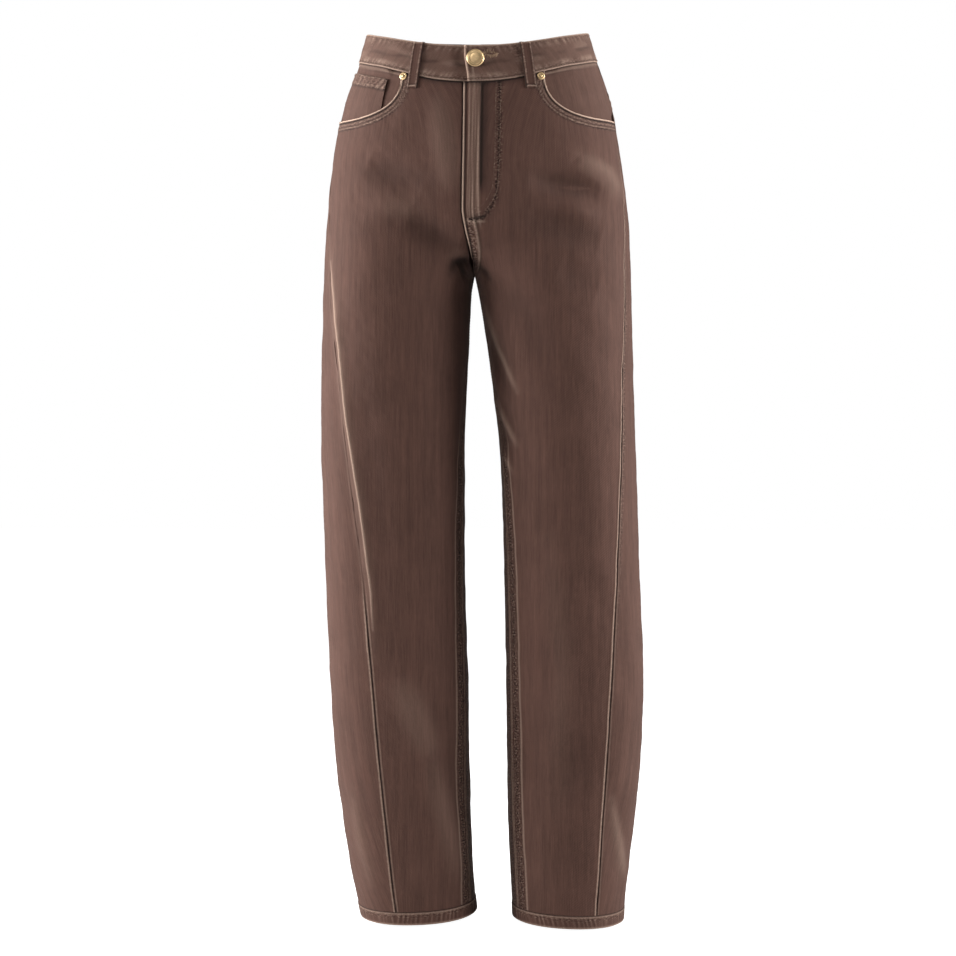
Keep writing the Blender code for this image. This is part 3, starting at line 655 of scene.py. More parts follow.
def sew(name, cloth, finish, wall=CLOTH, closed=False):
    """Makes a piece with a right side, a wrong side and rims, and lets it ride on the frame."""
    step = INSIDE_STEP
    rows, columns = cloth.wear_and_painted_highlight.shape
    inside = (cloth.points - wall * cloth.normals)[::step, ::step]
    fine = np.arange(rows * columns).reshape(rows, columns)
    coarse = rows * columns + np.arange(inside[..., 0].size).reshape(inside.shape[:2])
    if closed:
        fine, coarse = (np.concatenate([g, g[:, :1]], axis=1) for g in (fine, coarse))
    faces = np.stack([fine[:-1, :-1], fine[1:, :-1], fine[1:, 1:], fine[:-1, 1:]], -1)
    back = np.stack([coarse[:-1, :-1], coarse[:-1, 1:], coarse[1:, 1:], coarse[1:, :-1]], -1)
    faces = faces.reshape(-1, 4).tolist() + back.reshape(-1, 4).tolist()
    faces += rim(fine[0], coarse[0], step) + rim(fine[-1][::-1], coarse[-1][::-1], step)
    if not closed:
        faces += rim(fine[::-1, 0], coarse[::-1, 0], step) + rim(fine[:, -1], coarse[:, -1], step)
    points = np.concatenate([cloth.points.reshape(-1, 3), inside.reshape(-1, 3)])
    mesh = bpy.data.meshes.new(name)
    mesh.from_pydata((points * MM).tolist(), [], faces)
    corner = mesh.polygons[len(faces) // 3].normal
    middle = cloth.normals.reshape(-1, 3)[mesh.polygons[len(faces) // 3].vertices[0]]
    if corner.dot(Vector(middle)) < 0:
        mesh.flip_normals()
    # The worn mask also holds painted highlight, and the dark mask holds seam dye and painted shade.
    for layer in ("wear_and_painted_highlight", "tarnish_dye_and_painted_shade", "scruff"):
        values = getattr(cloth, layer)
        values = np.concatenate([values.ravel(), values[::step, ::step].ravel() * 0.3])
        store = mesh.attributes.new(layer, "FLOAT", "POINT")
        store.data.foreach_set("value", np.clip(values, 0, 1).astype(np.float32))
    uv = np.stack([cloth.u, cloth.v], -1)
    flat = np.concatenate([uv.reshape(-1, 2), uv[::step, ::step].reshape(-1, 2)])
    corners = np.empty(len(mesh.loops), np.int32)
    mesh.loops.foreach_get("vertex_index", corners)
    mesh.uv_layers.new(name="cloth").data.foreach_set("uv", (flat[corners] * MM).astype(np.float32).ravel())
    mesh.shade_smooth()
    mesh.set_sharp_from_angle(angle=math.radians(60))
    piece = bpy.data.objects.new(name, mesh)
    bpy.context.scene.collection.objects.link(piece)
    mesh.materials.append(finish)
    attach(piece, "root")
    print(f"{name}: {len(faces)} faces")
    return piece

# %% [markdown]
# ## What the cloth is made of
#
# Overdyed twill is brown right through, with pale worn edges where the machine wash rubbed it and
# a dark line where dye sat in the seams. Painted highlight brightens some fold ridges, and painted
# shade darkens the seam grooves, fold troughs, hollows and the cloth under edges. An image could
# show all that, but it would stretch over the folds. Instead each look is a group of nodes that is
# given the cloth's own flat coordinates: fine streaks along the warp, the slanted ribs of the twill,
# and the three numbers of the grid.

# %% Small helpers for node trees
def new_group(name, inputs, outputs):
    group = bpy.data.node_groups.new(name, "ShaderNodeTree")
    for label, kind, value in inputs:
        socket = group.interface.new_socket(label, in_out="INPUT", socket_type=kind)
        if value is not None:
            socket.default_value = value
    for label, kind in outputs:
        group.interface.new_socket(label, in_out="OUTPUT", socket_type=kind)
    return group, group.nodes.new("NodeGroupInput"), group.nodes.new("NodeGroupOutput")


class Tree:
    """Adds nodes to a tree in one line each."""

    def __init__(self, tree):
        self.tree = tree

    def node(self, kind, values=(), **settings):
        made = self.tree.nodes.new(kind)
        for key, value in settings.items():
            setattr(made, key, value)
        for key, value in dict(values).items():
            self.put(made.inputs[key], value)
        return made

    def put(self, socket, value):
        if isinstance(value, bpy.types.NodeSocket):
            self.tree.links.new(value, socket)
        else:
            socket.default_value = value

    def math(self, operation, *values, clamp=False):
        made = self.node("ShaderNodeMath", dict(enumerate(values)), operation=operation, use_clamp=clamp)
        return made.outputs[0]

    def mix(self, share, a, b, blend="MIX"):
        made = self.node("ShaderNodeMix", {0: share, 6: a, 7: b}, data_type="RGBA", blend_type=blend)
        return made.outputs[2]

    def noise(self, vector, scale, detail=2.0, roughness=0.5):
        values = {"Vector": vector, "Scale": scale, "Detail": detail, "Roughness": roughness}
        return self.node("ShaderNodeTexNoise", values).outputs["Fac"]

    def stretched(self, vector, across, along):
        made = self.node("ShaderNodeMapping", {"Vector": vector, "Scale": (across, along, 1)})
        return made.outputs[0]

    def ramp(self, value, low, high):
        made = self.node("ShaderNodeMapRange", {0: value, 1: low, 2: high}, interpolation_type="SMOOTHSTEP")
        return made.outputs[0]


# %% Overdyed twill
RGB, NUMBER, VECTOR = "NodeSocketColor", "NodeSocketFloat", "NodeSocketVector"
# The pale input colour serves wear and painted highlight, the dark one seam dye and painted shade.
twill_group, given, result = new_group(
    "Overdyed twill",
    [
        ("Flat", VECTOR, None),
        ("Dyed", RGB, (0.112, 0.062, 0.048, 1)),
        ("Worn_and_painted_highlight", RGB, (0.42, 0.28, 0.21, 1)),
        ("Dark_dye_and_painted_shade", RGB, (0.009, 0.005, 0.004, 1)),
        ("Wear_and_painted_highlight", NUMBER, 0.0),
        ("Dye_and_painted_shade", NUMBER, 0.0),
        ("Scruff", NUMBER, 0.0),
        ("Streaks", NUMBER, 1.0),
    ],
    [("Color", RGB), ("Roughness", NUMBER), ("Height", NUMBER)],
)
t = Tree(twill_group)
flat = given.outputs["Flat"]
long_streaks = t.noise(t.stretched(flat, 900, 28), 1.0, 3.0, 0.6)
short_streaks = t.noise(t.stretched(flat, 1900, 160), 1.0, 2.0, 0.6)
clouds = t.noise(flat, 22.0, 3.0, 0.55)
yarn = t.noise(t.stretched(flat, 1500, 1500), 1.0, 1.0)
slanted = t.node("ShaderNodeMapping", {"Vector": flat, "Rotation": (0, 0, math.radians(28))}).outputs[0]
ribs = t.node(
    "ShaderNodeTexWave",
    {"Vector": slanted, "Scale": 190.0, "Distortion": 1.2, "Detail": 1.0, "Detail Scale": 2.0},
    bands_direction="Y",
).outputs["Fac"]
washed = t.noise(t.stretched(flat, 170, 7), 1.0, 2.0, 0.5)
streaks = t.math("ADD", t.math("MULTIPLY", long_streaks, 0.6), t.math("MULTIPLY", short_streaks, 0.4))
tone = t.math("MULTIPLY_ADD", t.math("SUBTRACT", streaks, 0.5), 1.5, 1.0)
tone = t.math("MULTIPLY_ADD", t.math("SUBTRACT", tone, 1.0), given.outputs["Streaks"], 1.0)
tone = t.math("MULTIPLY_ADD", t.math("SUBTRACT", clouds, 0.5), 0.35, tone)
tone = t.math("MULTIPLY_ADD", t.math("SUBTRACT", washed, 0.5), 0.55, tone)
tone = t.math("MULTIPLY_ADD", t.math("SUBTRACT", ribs, 0.5), 0.16, tone)
tone = t.math("MULTIPLY_ADD", t.math("SUBTRACT", yarn, 0.5), 0.25, tone)
grey = t.node("ShaderNodeCombineColor", {0: tone, 1: tone, 2: tone}).outputs[0]
dyed = t.mix(1.0, given.outputs["Dyed"], grey, "MULTIPLY")
scuff = t.math("MULTIPLY_ADD", t.math("SUBTRACT", t.noise(flat, 700.0, 3.0, 0.7), 0.5), 1.8, 1.0)
dashes = t.noise(t.stretched(flat, 330, 620), 1.0, 2.0, 0.55)
pale_dash = t.math("MULTIPLY", t.ramp(dashes, 0.54, 0.66), given.outputs["Scruff"])
dark_dash = t.math("MULTIPLY", t.ramp(dashes, 0.49, 0.38), given.outputs["Scruff"])
# Wear and painted highlight lighten the cloth towards the pale colour.
rubbed_and_highlit = t.math("MULTIPLY", given.outputs["Wear_and_painted_highlight"], scuff)
rubbed_and_highlit = t.math("MULTIPLY_ADD", pale_dash, 0.38, rubbed_and_highlit, clamp=True)
colour = t.mix(rubbed_and_highlit, dyed, given.outputs["Worn_and_painted_highlight"])
# Painted shade and seam dye, broken up by the yarn, and dark stitch dashes darken the cloth towards the dark
# colour.
broken = t.math("MULTIPLY_ADD", t.math("SUBTRACT", yarn, 0.5), 0.8, 0.9)
shadowed = t.math("MULTIPLY", given.outputs["Dye_and_painted_shade"], broken, clamp=True)
shadowed = t.math("MULTIPLY_ADD", dark_dash, 0.95, shadowed, clamp=True)
colour = t.mix(shadowed, colour, given.outputs["Dark_dye_and_painted_shade"])
weave = t.math("ADD", t.math("MULTIPLY", ribs, 0.35), t.math("MULTIPLY", yarn, 0.4))
weave = t.math("ADD", weave, t.math("MULTIPLY", streaks, 0.8))
t.put(result.inputs["Color"], colour)
t.put(result.inputs["Roughness"], t.math("MULTIPLY_ADD", rubbed_and_highlit, 0.08, 0.82))
t.put(result.inputs["Height"], weave)


# %% Cloth finishes
# Besides the base colour, each finish takes a pale colour for wear and painted highlight and a dark colour
# for seam dye and painted shade.
def cloth_finish(name, dyed, worn_and_highlight, dark_dye_and_shade=(0.009, 0.005, 0.004), streaks=1.0, sheen=0.12):
    made = bpy.data.materials.new(name)
    made.use_nodes = True
    t = Tree(made.node_tree)
    shader = made.node_tree.nodes["Principled BSDF"]
    wear_and_painted_highlight = t.node("ShaderNodeAttribute", attribute_name="wear_and_painted_highlight").outputs["Fac"]
    tarnish_dye_and_painted_shade = t.node("ShaderNodeAttribute", attribute_name="tarnish_dye_and_painted_shade").outputs["Fac"]
    scruff = t.node("ShaderNodeAttribute", attribute_name="scruff").outputs["Fac"]
    flat = t.node("ShaderNodeUVMap", uv_map="cloth").outputs[0]
    values = {
        "Flat": flat, "Dyed": (*dyed, 1), "Worn_and_painted_highlight": (*worn_and_highlight, 1), "Dark_dye_and_painted_shade": (*dark_dye_and_shade, 1),
        "Wear_and_painted_highlight": wear_and_painted_highlight, "Dye_and_painted_shade": tarnish_dye_and_painted_shade, "Scruff": scruff, "Streaks": streaks,
    }
    group = t.node("ShaderNodeGroup", node_tree=twill_group)
    for key, value in values.items():
        t.put(group.inputs[key], value)
    t.put(shader.inputs["Base Color"], group.outputs["Color"])
    t.put(shader.inputs["Roughness"], group.outputs["Roughness"])
    values = {"Height": group.outputs["Height"], "Strength": 0.5, "Distance": 0.0005}
    relief = t.node("ShaderNodeBump", values)
    t.put(shader.inputs["Normal"], relief.outputs[0])
    shader.inputs["Sheen Weight"].default_value = sheen
    shader.inputs["Sheen Roughness"].default_value = 0.5
    shader.inputs["Sheen Tint"].default_value = (0.62, 0.50, 0.44, 1)
    shader.inputs["Specular IOR Level"].default_value = 0.15
    return made


twill = cloth_finish("overdyed_twill", (0.090, 0.045, 0.034), (0.62, 0.44, 0.34))
facing = cloth_finish("facing_cloth", (0.096, 0.050, 0.038), (0.50, 0.35, 0.27))
thread = cloth_finish("seam_thread", (0.085, 0.043, 0.033), (0.40, 0.27, 0.20), streaks=0.3)
frayed = cloth_finish("frayed_thread", (0.30, 0.185, 0.115), (0.62, 0.44, 0.30), streaks=0.3)

# %% [markdown]
# ## Front panels
#
# Each front reaches from the side seam to the fly and the inseam, and its top edge follows the
# pocket mouth before it meets the waistband. The left front laps over the right one, so the fly's
# folded edge stands a little proud, with the zip's two layers as a soft ridge beside it. A Boolean
# could cut the pocket mouth, but then the edge would have no grid to fold and rub, so the mouth is
# the panel's own top edge.

# %% Grid of a panel
PANEL_COLUMNS = 160
PANEL_ROWS = (48, 320)


def panel(half, face, top_drop, top_angle, shares):
    block_rows, leg_rows = PANEL_ROWS
    down = graded(block_rows, 6.0, 0.0, 0.10)
    low = HEMS[half]["drop"] - HEM_BAND
    drops = BLOCK_END + (low - BLOCK_END) * graded(leg_rows, 0.4, 1.0, 0.3)
    block = top_block(half, face, top_drop, top_angle, shares, down)
    lower = lower_rows(half, face, drops, shares)
    cloth = Cloth(*(np.concatenate(pair) for pair in zip(block, lower)))
    cloth.below = ORIGIN_DROP - cloth.points[..., 2]
    return cloth


def distance_to(cloth, line, rows):
    """Distance of the grid's upper points from a curve, and a long one for the others."""
    spots = cloth.points[:rows].reshape(-1, 1, 3)
    best = np.full(cloth.wear_and_painted_highlight.size, 999.0)
    near = best[: len(spots)]
    for part in np.array_split(line, 24):
        np.minimum(near, np.linalg.norm(spots - part, axis=-1).min(axis=1), out=near)
    return best.reshape(cloth.wear_and_painted_highlight.shape)


def outer_seam(cloth, seed, strength, half, start=60.0):
    """The side seam: a dark line of seam dye and painted shade in its groove, with a pale rubbed edge beside
    it, fainter above the right knee.
    """
    d, along = cloth.first, cloth.v
    gathers = puckers(along, 7.0, seed)
    on = smooth((cloth.below - start) / 30)
    if half == "right":
        on = on * (0.12 + 0.88 * smooth((cloth.below - 600) / 60))
    cloth.lift(roll_off(d, 0.8) * on + on * strength * (0.4 + 0.2 * gathers) * bump(d, 2.6, 2.0))
    cloth.wear_and_painted_highlight += on * strength * (0.50 + 0.10 * gathers) * bump(d, 2.0, 0.9)
    # Seam dye and painted shade darken the groove at the seam and a line beside it.
    cloth.tarnish_dye_and_painted_shade += on * (1.0 * bump(d, 0, 1.2) + 0.15 * bump(d, 3.9, 0.9))


def inner_seam(cloth, seed, strength):
    """The inseam: two rows of stitches that pucker the cloth like the rungs of a ladder."""
    d, along = cloth.last, cloth.v
    on = smooth((cloth.below - 262) / 10)
    rungs = puckers(along, 5.5, seed) * bump(d, 4.5, 4.0)
    on = on * (0.25 + 0.75 * smooth((cloth.below - 430) / 50)) * strength
    cloth.lift(roll_off(d, 0.8) + on * (0.4 * bump(d, 4.2, 3.4) + 0.28 * rungs))
    cloth.wear_and_painted_highlight += on * (0.45 * bump(d, 1.2, 1.2) + 0.28 * bump(d, 19, 1.4))
    cloth.scruff += on * 1.0 * bump(d, 10, 6)
    # Seam dye and painted shade darken the seam's edge, the middle of the ladder and a line beside it.
    cloth.tarnish_dye_and_painted_shade += 0.7 * bump(d, 0, 0.9) + on * (0.3 * bump(d, 8, 5) + 0.3 * bump(d, 16, 1.5))


# Sharper folds of the fronts. Columns: places (x, drop) along it, half width, height, painted
# highlight with some rub, painted shade in the trough. The long ridge on the right thigh is a soft
# fold with a sharp one on its top, painted with a bright highlight line.
THIGH_RIDGE = [(-139, 431), (-124, 528), (-113, 618)]
CREASES = [
    ([(-160, 241), (-156, 266), (-151, 321), *THIGH_RIDGE, (-110, 693)], 6, 2.6, 0.06, 0.0),
    ([(-159, 255), (-156, 275), (-151, 321), *THIGH_RIDGE, (-111, 660)], 1.2, 0.8, 0.45, 0.0),
    ([(-126, 330), (-116, 431), (-102, 528), (-92, 600)], 13, -1.6, 0.0, 0.10),
    ([(-70, 726), (-49, 810), (-30, 894), (-16, 952)], 7, 1.8, 0.0, 0.0),
    ([(-50, 726), (-30, 800), (-14, 880)], 11, -1.5, 0.0, 0.10),
    ([(-137, 840), (-126, 901), (-114, 945)], 7, 1.6, 0.06, 0.0),
    ([(11, 304), (24, 349), (47, 398)], 3.0, 1.4, 0.22, 0.0),
    ([(6, 318), (18, 362), (40, 408)], 6, -2.0, 0.0, 0.25),
    ([(22, 407), (34, 435), (46, 457)], 2.8, 1.3, 0.20, 0.0),
    ([(18, 420), (29, 446), (41, 470)], 5, -1.6, 0.0, 0.20),
    ([(29, 465), (41, 487)], 2.4, 1.0, 0.16, 0.0),
    ([(57, 160), (97, 173), (140, 177)], 12, -3.0, 0.0, 0.16),
    ([(114, 140), (145, 155), (161, 180)], 7, 2.4, 0.10, 0.0),
    ([(43, 212), (95, 229), (138, 243)], 13, -2.6, 0.0, 0.20),
    ([(19, 273), (53, 309), (84, 380)], 14, -2.4, 0.0, 0.20),
    ([(96, 255), (140, 275)], 12, -1.8, 0.0, 0.12),
    ([(-135, 157), (-80, 157), (-24, 173)], 13, -2.2, 0.0, 0.16),
    ([(-80, 209), (-47, 227), (-14, 251)], 14, -3.0, 0.0, 0.22),
    ([(-100, 195), (-60, 200)], 12, 1.5, 0.04, 0.0),
    # Painted shadow in the crotch hollow.
    ([(-26, 268), (-20, 258), (-9, 255), (-1, 261)], 5, -3.0, 0.0, 0.9),
    ([(-16, 268), (-8, 266)], 8, -2.0, 0.0, 0.95),
    ([(2, 262), (10, 267), (17, 278)], 4, -2.0, 0.0, 0.65),
    ([(-28, 252), (-16, 247), (-4, 248)], 5, 1.2, 0.05, 0.0),
    ([(151, 848), (160, 907), (165, 938)], 5, 2.0, 0.16, 0.0),
    ([(84, 560), (98, 700), (92, 850)], 12, 1.2, 0.03, 0.0),
    ([(60, 760), (72, 840)], 14, -1.5, 0.0, 0.08),
]


def beside_line(cloth, spots):
    """Distance on the front from a line through (x, drop) places, and the share of the way along it."""
    flat = cloth.points[..., [0, 2]]
    line = np.array(spots, float) * (1, -1) + (0, ORIGIN_DROP)
    best, share = np.full(cloth.wear_and_painted_highlight.shape, np.inf), np.zeros(cloth.wear_and_painted_highlight.shape)
    for k, (a, b) in enumerate(zip(line[:-1], line[1:])):
        t = np.clip(((flat - a) @ (b - a)) / ((b - a) @ (b - a)), 0, 1)
        near = np.linalg.norm(flat - a - t[..., None] * (b - a), axis=-1)
        share = np.where(near < best, (k + t) / (len(line) - 1), share)
        best = np.minimum(best, near)
    return best, share


def folds_with_painted_light(cloth, seed):
    """Folds with painted highlight and some rub on their ridges, painted shade in their troughs, and an
    uneven surface.
    """
    height = folds(cloth.points, cloth.normals)
    # Painted highlight on fold ridges and painted shade in fold troughs.
    cloth.wear_and_painted_highlight += 0.06 * smooth(height / 3)
    cloth.tarnish_dye_and_painted_shade += 0.16 * smooth(-height / 4)
    frontal = smooth(-cloth.normals[..., 1] / 0.35)
    rise = 0.4 * height
    for spots, half_width, lift, highlight_and_rub, painted_shade in CREASES:
        best, share = beside_line(cloth, spots)
        on = np.exp(-((best / half_width) ** 2)) * np.sin(np.pi * np.clip(share, 0.03, 0.97)) ** 0.5 * frontal
        rise = rise + lift * on
        # Each crease paints highlight and rub along its ridge and shade along its trough.
        cloth.wear_and_painted_highlight += highlight_and_rub * on
        cloth.tarnish_dye_and_painted_shade += painted_shade * on
    waves = 0.35 * ripple(cloth.u, cloth.v, 55, seed) + 0.12 * ripple(cloth.u, cloth.v, 17, seed + 1)
    cloth.lift(rise + waves)


# %% Fronts
def front_grid(half):
    shares, k = with_step_at(graded(PANEL_COLUMNS), MOUTH_SHARE)
    mouth_drop, mouth_angle = mouth_edge(half, shares[: k + 1] / shares[k])
    _, corner = mouth_corner(half)
    inner = (shares[k + 1 :] - shares[k]) / (1 - shares[k])
    seam = waist_seam(np.pi / 2)
    seam_angle = corner + (centre_angle(half, "front", seam) - corner) * inner
    top_angle = np.concatenate([mouth_angle, seam_angle])
    top_drop = np.concatenate([mouth_drop, waist_seam(seam_angle) + GAP / 2])
    return panel(half, "front", top_drop, top_angle, shares), k


def front(half):
    cloth, k = front_grid(half)
    cloth.hang_grain(85 * SIGN[half], "front")
    folds_with_painted_light(cloth, 11 if half == "left" else 23)
    mouth = cloth.points[0, : k + 1]
    edge = distance_to(cloth, mouth, PANEL_ROWS[0])
    at_mouth = smooth((k + 3 - np.arange(cloth.wear_and_painted_highlight.shape[1])) / 4)
    along = np.cumsum(np.pad(np.linalg.norm(np.diff(mouth, axis=0), axis=1), (1, 0)))
    nearest = np.interp(np.arange(cloth.wear_and_painted_highlight.shape[1]), np.arange(k + 1), along)
    gathers = puckers(nearest + 0 * edge, 6.0, 31) * bump(edge, 7, 3.5)
    cloth.lift(0.35 * bump(edge, 1.0, 1.2) - 0.35 * bump(edge, 2.8, 0.9) + 0.22 * gathers)
    cloth.wear_and_painted_highlight += 1.3 * bump(edge, 0.2, 1.1) + 0.12 * bump(edge, 5.2, 1.2) + 0.22 * bump(edge, 8.9, 0.7)
    cloth.scruff += 0.45 * bump(edge, 5.0, 2.0) + 0.5 * bump(edge, 9.6, 2.0)
    # Painted shade and dye darken the grooves along the pocket mouth and its stitch rows.
    cloth.tarnish_dye_and_painted_shade += 1.0 * bump(edge, 2.7, 1.0) + 0.5 * bump(edge, 7.2, 0.9) + 0.55 * bump(edge, 10.8, 1.0)
    waist = cloth.top * (1 - at_mouth) + 99 * at_mouth
    cloth.lift(roll_off(waist, 1.0) * (1 - at_mouth))
    # Painted shadow under the waistband's edge.
    cloth.tarnish_dye_and_painted_shade += (1.0 * bump(waist, 0.6, 1.5) + 0.3 * bump(waist, 3, 3)) * (edge > 3)
    outer_seam(cloth, 41, 0.9 if half == "left" else 0.35, half, 118.0)
    inner_seam(cloth, 43, 1.0)
    fly(cloth, half)
    return cloth, mouth


# Places (x, drop): the curved stitching of the fly, and the bar at its foot.
J_SEAM = [(29.4, 63), (28.3, 152), (25.4, 187), (19.6, 198), (12.3, 208), (4, 210)]
FLY_BAR = [(-3, 210), (12, 209)]


def fly(cloth, half):
    """The fly and the crotch seam on either front."""
    d, drop = cloth.last, cloth.below
    above = 1 - smooth((drop - 262) / 6)
    if half == "right":
        cloth.lift(-0.5 * bump(d, 0, 3.0) * above)
        # Painted shade where the left front laps over.
        cloth.tarnish_dye_and_painted_shade += 0.8 * bump(d, 0, 1.5) * above
        return
    strip = 1 - smooth((drop - 205) / 20)
    ridge = smooth((d - 4.5) / 2) * (1 - smooth((d - 18.5) / 2.5))
    cloth.lift(above * (0.5 * bump(d, 1.0, 2.2) - 0.3 * bump(d, 5.0, 1.2)) + strip * 0.55 * ridge)
    cloth.wear_and_painted_highlight += above * 1.0 * bump(d, 0.8, 1.0) + strip * 0.10 * ridge
    folded = ripple(d, 0.03 * drop, 3.6, 59)
    cloth.lift(strip * 0.25 * ridge * folded)
    # Painted highlight on the ripples of the zip's ridge and painted shade between them.
    cloth.wear_and_painted_highlight += strip * ridge * 0.30 * np.maximum(folded, 0)
    cloth.tarnish_dye_and_painted_shade += strip * ridge * 0.35 * np.maximum(-folded, 0)
    end = strip * (1 - smooth((drop - 165) / 25))
    # Painted shadow beside the fly's edge and at the foot of the zip's ridge.
    cloth.tarnish_dye_and_painted_shade += above * 0.9 * bump(d, 3.0, 1.1)
    cloth.tarnish_dye_and_painted_shade += end * (0.95 * bump(d, 20.5, 1.5) + 0.55 * bump(d, 24, 4.5))
    near, share = beside_line(cloth, J_SEAM)
    cloth.lift(-0.35 * bump(near, 0, 1.6))
    # Painted shade and dye in the groove of the J seam and beside it.
    cloth.tarnish_dye_and_painted_shade += 0.55 * bump(near, 0, 1.3) + 0.16 * bump(near, 3, 5) * (d < 42)
    cloth.scruff += 0.75 * bump(near, 0, 3.2)
    bar, _ = beside_line(cloth, FLY_BAR)
    # Painted shade and dye in the bar's groove.
    cloth.tarnish_dye_and_painted_shade += 0.7 * bump(bar, 0, 1.6)
    cloth.wear_and_painted_highlight += 0.30 * bump(bar, 3.4, 0.9) * (drop > 212)
    felled = smooth((drop - 205) / 10) * above
    rungs = puckers(cloth.v, 4.5, 57) * bump(d, 7, 5)
    cloth.lift(felled * (0.45 * smooth((d - 1) / 2) * (1 - smooth((d - 12) / 2)) + 0.25 * rungs))
    cloth.wear_and_painted_highlight += felled * (0.35 * bump(d, 12.5, 1.4) + 0.2 * np.maximum(rungs, 0))
    cloth.scruff += felled * 1.0 * bump(d, 7.0, 4.5)
    # Painted shade and dye beside the felled seam.
    cloth.tarnish_dye_and_painted_shade += felled * 0.55 * bump(d, 14.5, 1.3)


pieces, fronts, mouths = {}, {}, {}
for half in ("right", "left"):
    cloth, mouths[half] = front(half)
    fronts[half] = cloth
    pieces[f"front_{half}"] = sew(f"front_{half}", cloth, twill)
    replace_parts(pieces[f"front_{half}"], f"front_panel_{half}")

# %% [markdown]
# ## Backs, yokes and patch pockets
#
# The photograph doesn't show the back, so it is sewn as such trousers usually are: a sloped yoke
# that shapes the seat in place of darts, a centre seam, and two patch pockets with a pointed foot.
# The pockets could be part of the back panel's grid, but a patch is a second layer of cloth with
# its own grain, so each is laid on the panel as a piece of its own.

# %% Backs and yokes
def yoke_seam(half, shares):
    drop = YOKE_AT_SIDE + (YOKE_AT_CENTRE - YOKE_AT_SIDE) * shares
    start, end = side_angle(half, drop), centre_angle(half, "back", drop)
    even = even_shares(on_torso, half, YOKE_AT_SIDE, start[0], end[-1], shares)
    return drop, start + (end - start) * even


def back_seams(cloth, seed):
    """The centre back seam, felled like the inseam."""
    d, drop = cloth.last, cloth.below
    above = 1 - smooth((drop - 268) / 8)
    rungs = puckers(cloth.v, 6.0, seed) * bump(d, 5, 4)
    cloth.lift(above * (0.4 * bump(d, 4.5, 3.5) + 0.2 * rungs))
    cloth.wear_and_painted_highlight += above * (0.3 * bump(d, 1.6, 1.3) + 0.3 * np.maximum(rungs, 0))
    # Seam dye and painted shade darken the seam's edge.
    cloth.tarnish_dye_and_painted_shade += above * 0.6 * bump(d, 0, 1.0)


def felled_edge(cloth, grid, seed, strength=1.0):
    """A seam along the top or foot of a piece, with its puckers."""
    gathers = puckers(cloth.u, 6.5, seed)
    cloth.lift(roll_off(grid, 0.8) + strength * (0.35 + 0.2 * gathers) * bump(grid, 3.2, 2.6))
    cloth.wear_and_painted_highlight += strength * (0.40 + 0.25 * gathers) * bump(grid, 2.0, 1.5)
    # Seam dye and painted shade darken the seam's edge.
    cloth.tarnish_dye_and_painted_shade += 0.7 * bump(grid, 0, 1.0)


backs, yokes = {}, {}
for half in ("right", "left"):
    shares = graded(176, 3.0, 3.0)
    drop, angle = yoke_seam(half, shares)
    cloth = panel(half, "back", drop + GAP / 2, angle, shares)
    cloth.hang_grain(85 * SIGN[half], "back")
    folds_with_painted_light(cloth, 61 if half == "left" else 67)
    felled_edge(cloth, cloth.top, 71, 0.8)
    outer_seam(cloth, 41, 0.25 if half == "left" else 0.85, half)
    if half == "left":
        cloth.scruff += 0.8 * bump(cloth.first, 4.5, 2.5) * bump(cloth.below, 430, 190)
    inner_seam(cloth, 43, 0.8)
    back_seams(cloth, 47)
    backs[half] = cloth
    pieces[f"back_{half}"] = sew(f"back_{half}", cloth, twill)
    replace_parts(pieces[f"back_{half}"], f"back_panel_{half}")

    shares = graded(112, 3.0, 3.0)
    low_drop, low_angle = yoke_seam(half, shares)
    shift = side_angle(half, waist_seam(0)) - low_angle[0]
    top_angle = low_angle + shift * (1 - shares)
    top_drop = waist_seam(top_angle) + GAP / 2
    down = graded(28, 2.0, 2.0, 0.1)[:, None]
    drop = top_drop + (low_drop - GAP / 2 - top_drop) * down
    cloth = Cloth(*torso_points(half, drop, top_angle + (low_angle - top_angle) * down))
    cloth.below = drop
    folds_with_painted_light(cloth, 73)
    felled_edge(cloth, cloth.bottom, 71)
    # Painted shadow under the waistband's edge.
    cloth.tarnish_dye_and_painted_shade += 0.6 * bump(cloth.top, 0, 1.2)
    outer_seam(cloth, 41, 0.5, "left", 20.0)
    back_seams(cloth, 47)
    yokes[half] = cloth
    pieces[f"yoke_cloth_{half}"] = sew(f"yoke_cloth_{half}", cloth, twill)
    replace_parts(pieces[f"yoke_cloth_{half}"], f"yoke_{half}")


# %% Laying a patch on a panel
def tree_of(piece):
    return BVHTree.FromObject(piece, bpy.context.evaluated_depsgraph_get())


trees = {}


def on_cloth(name, x, z, face="front"):
    """Points and normals of a piece straight behind given places of a view."""
    if name not in trees:
        trees[name] = tree_of(pieces[name])
    way = Vector((0, FACE[face], 0))
    found = np.full((x.size, 6), np.nan)
    for i, (px, pz) in enumerate(zip(x.ravel(), z.ravel())):
        hit, normal, _, _ = trees[name].ray_cast(Vector((px * MM, -FACE[face], pz * MM)), way)
        if hit:
            found[i] = [*(hit / MM), *normal]
    return found[:, :3].reshape(*x.shape, 3), found[:, 3:].reshape(*x.shape, 3)


def even_out(field, rounds):
    """Softens a grid of points or normals, so that a patch bridges what lies under it."""
    for _ in range(rounds):
        wide = np.pad(field, ((1, 1), (1, 1), (0, 0)), mode="edge")
        field = (wide[:-2, 1:-1] + wide[2:, 1:-1] + wide[1:-1, :-2] + wide[1:-1, 2:] + 2 * field) / 6
    return field


POCKET = {"x": 76.0, "top": 124.0, "top_half": 52.0, "low_half": 44.0, "sides": 116.0, "point": 22.0}


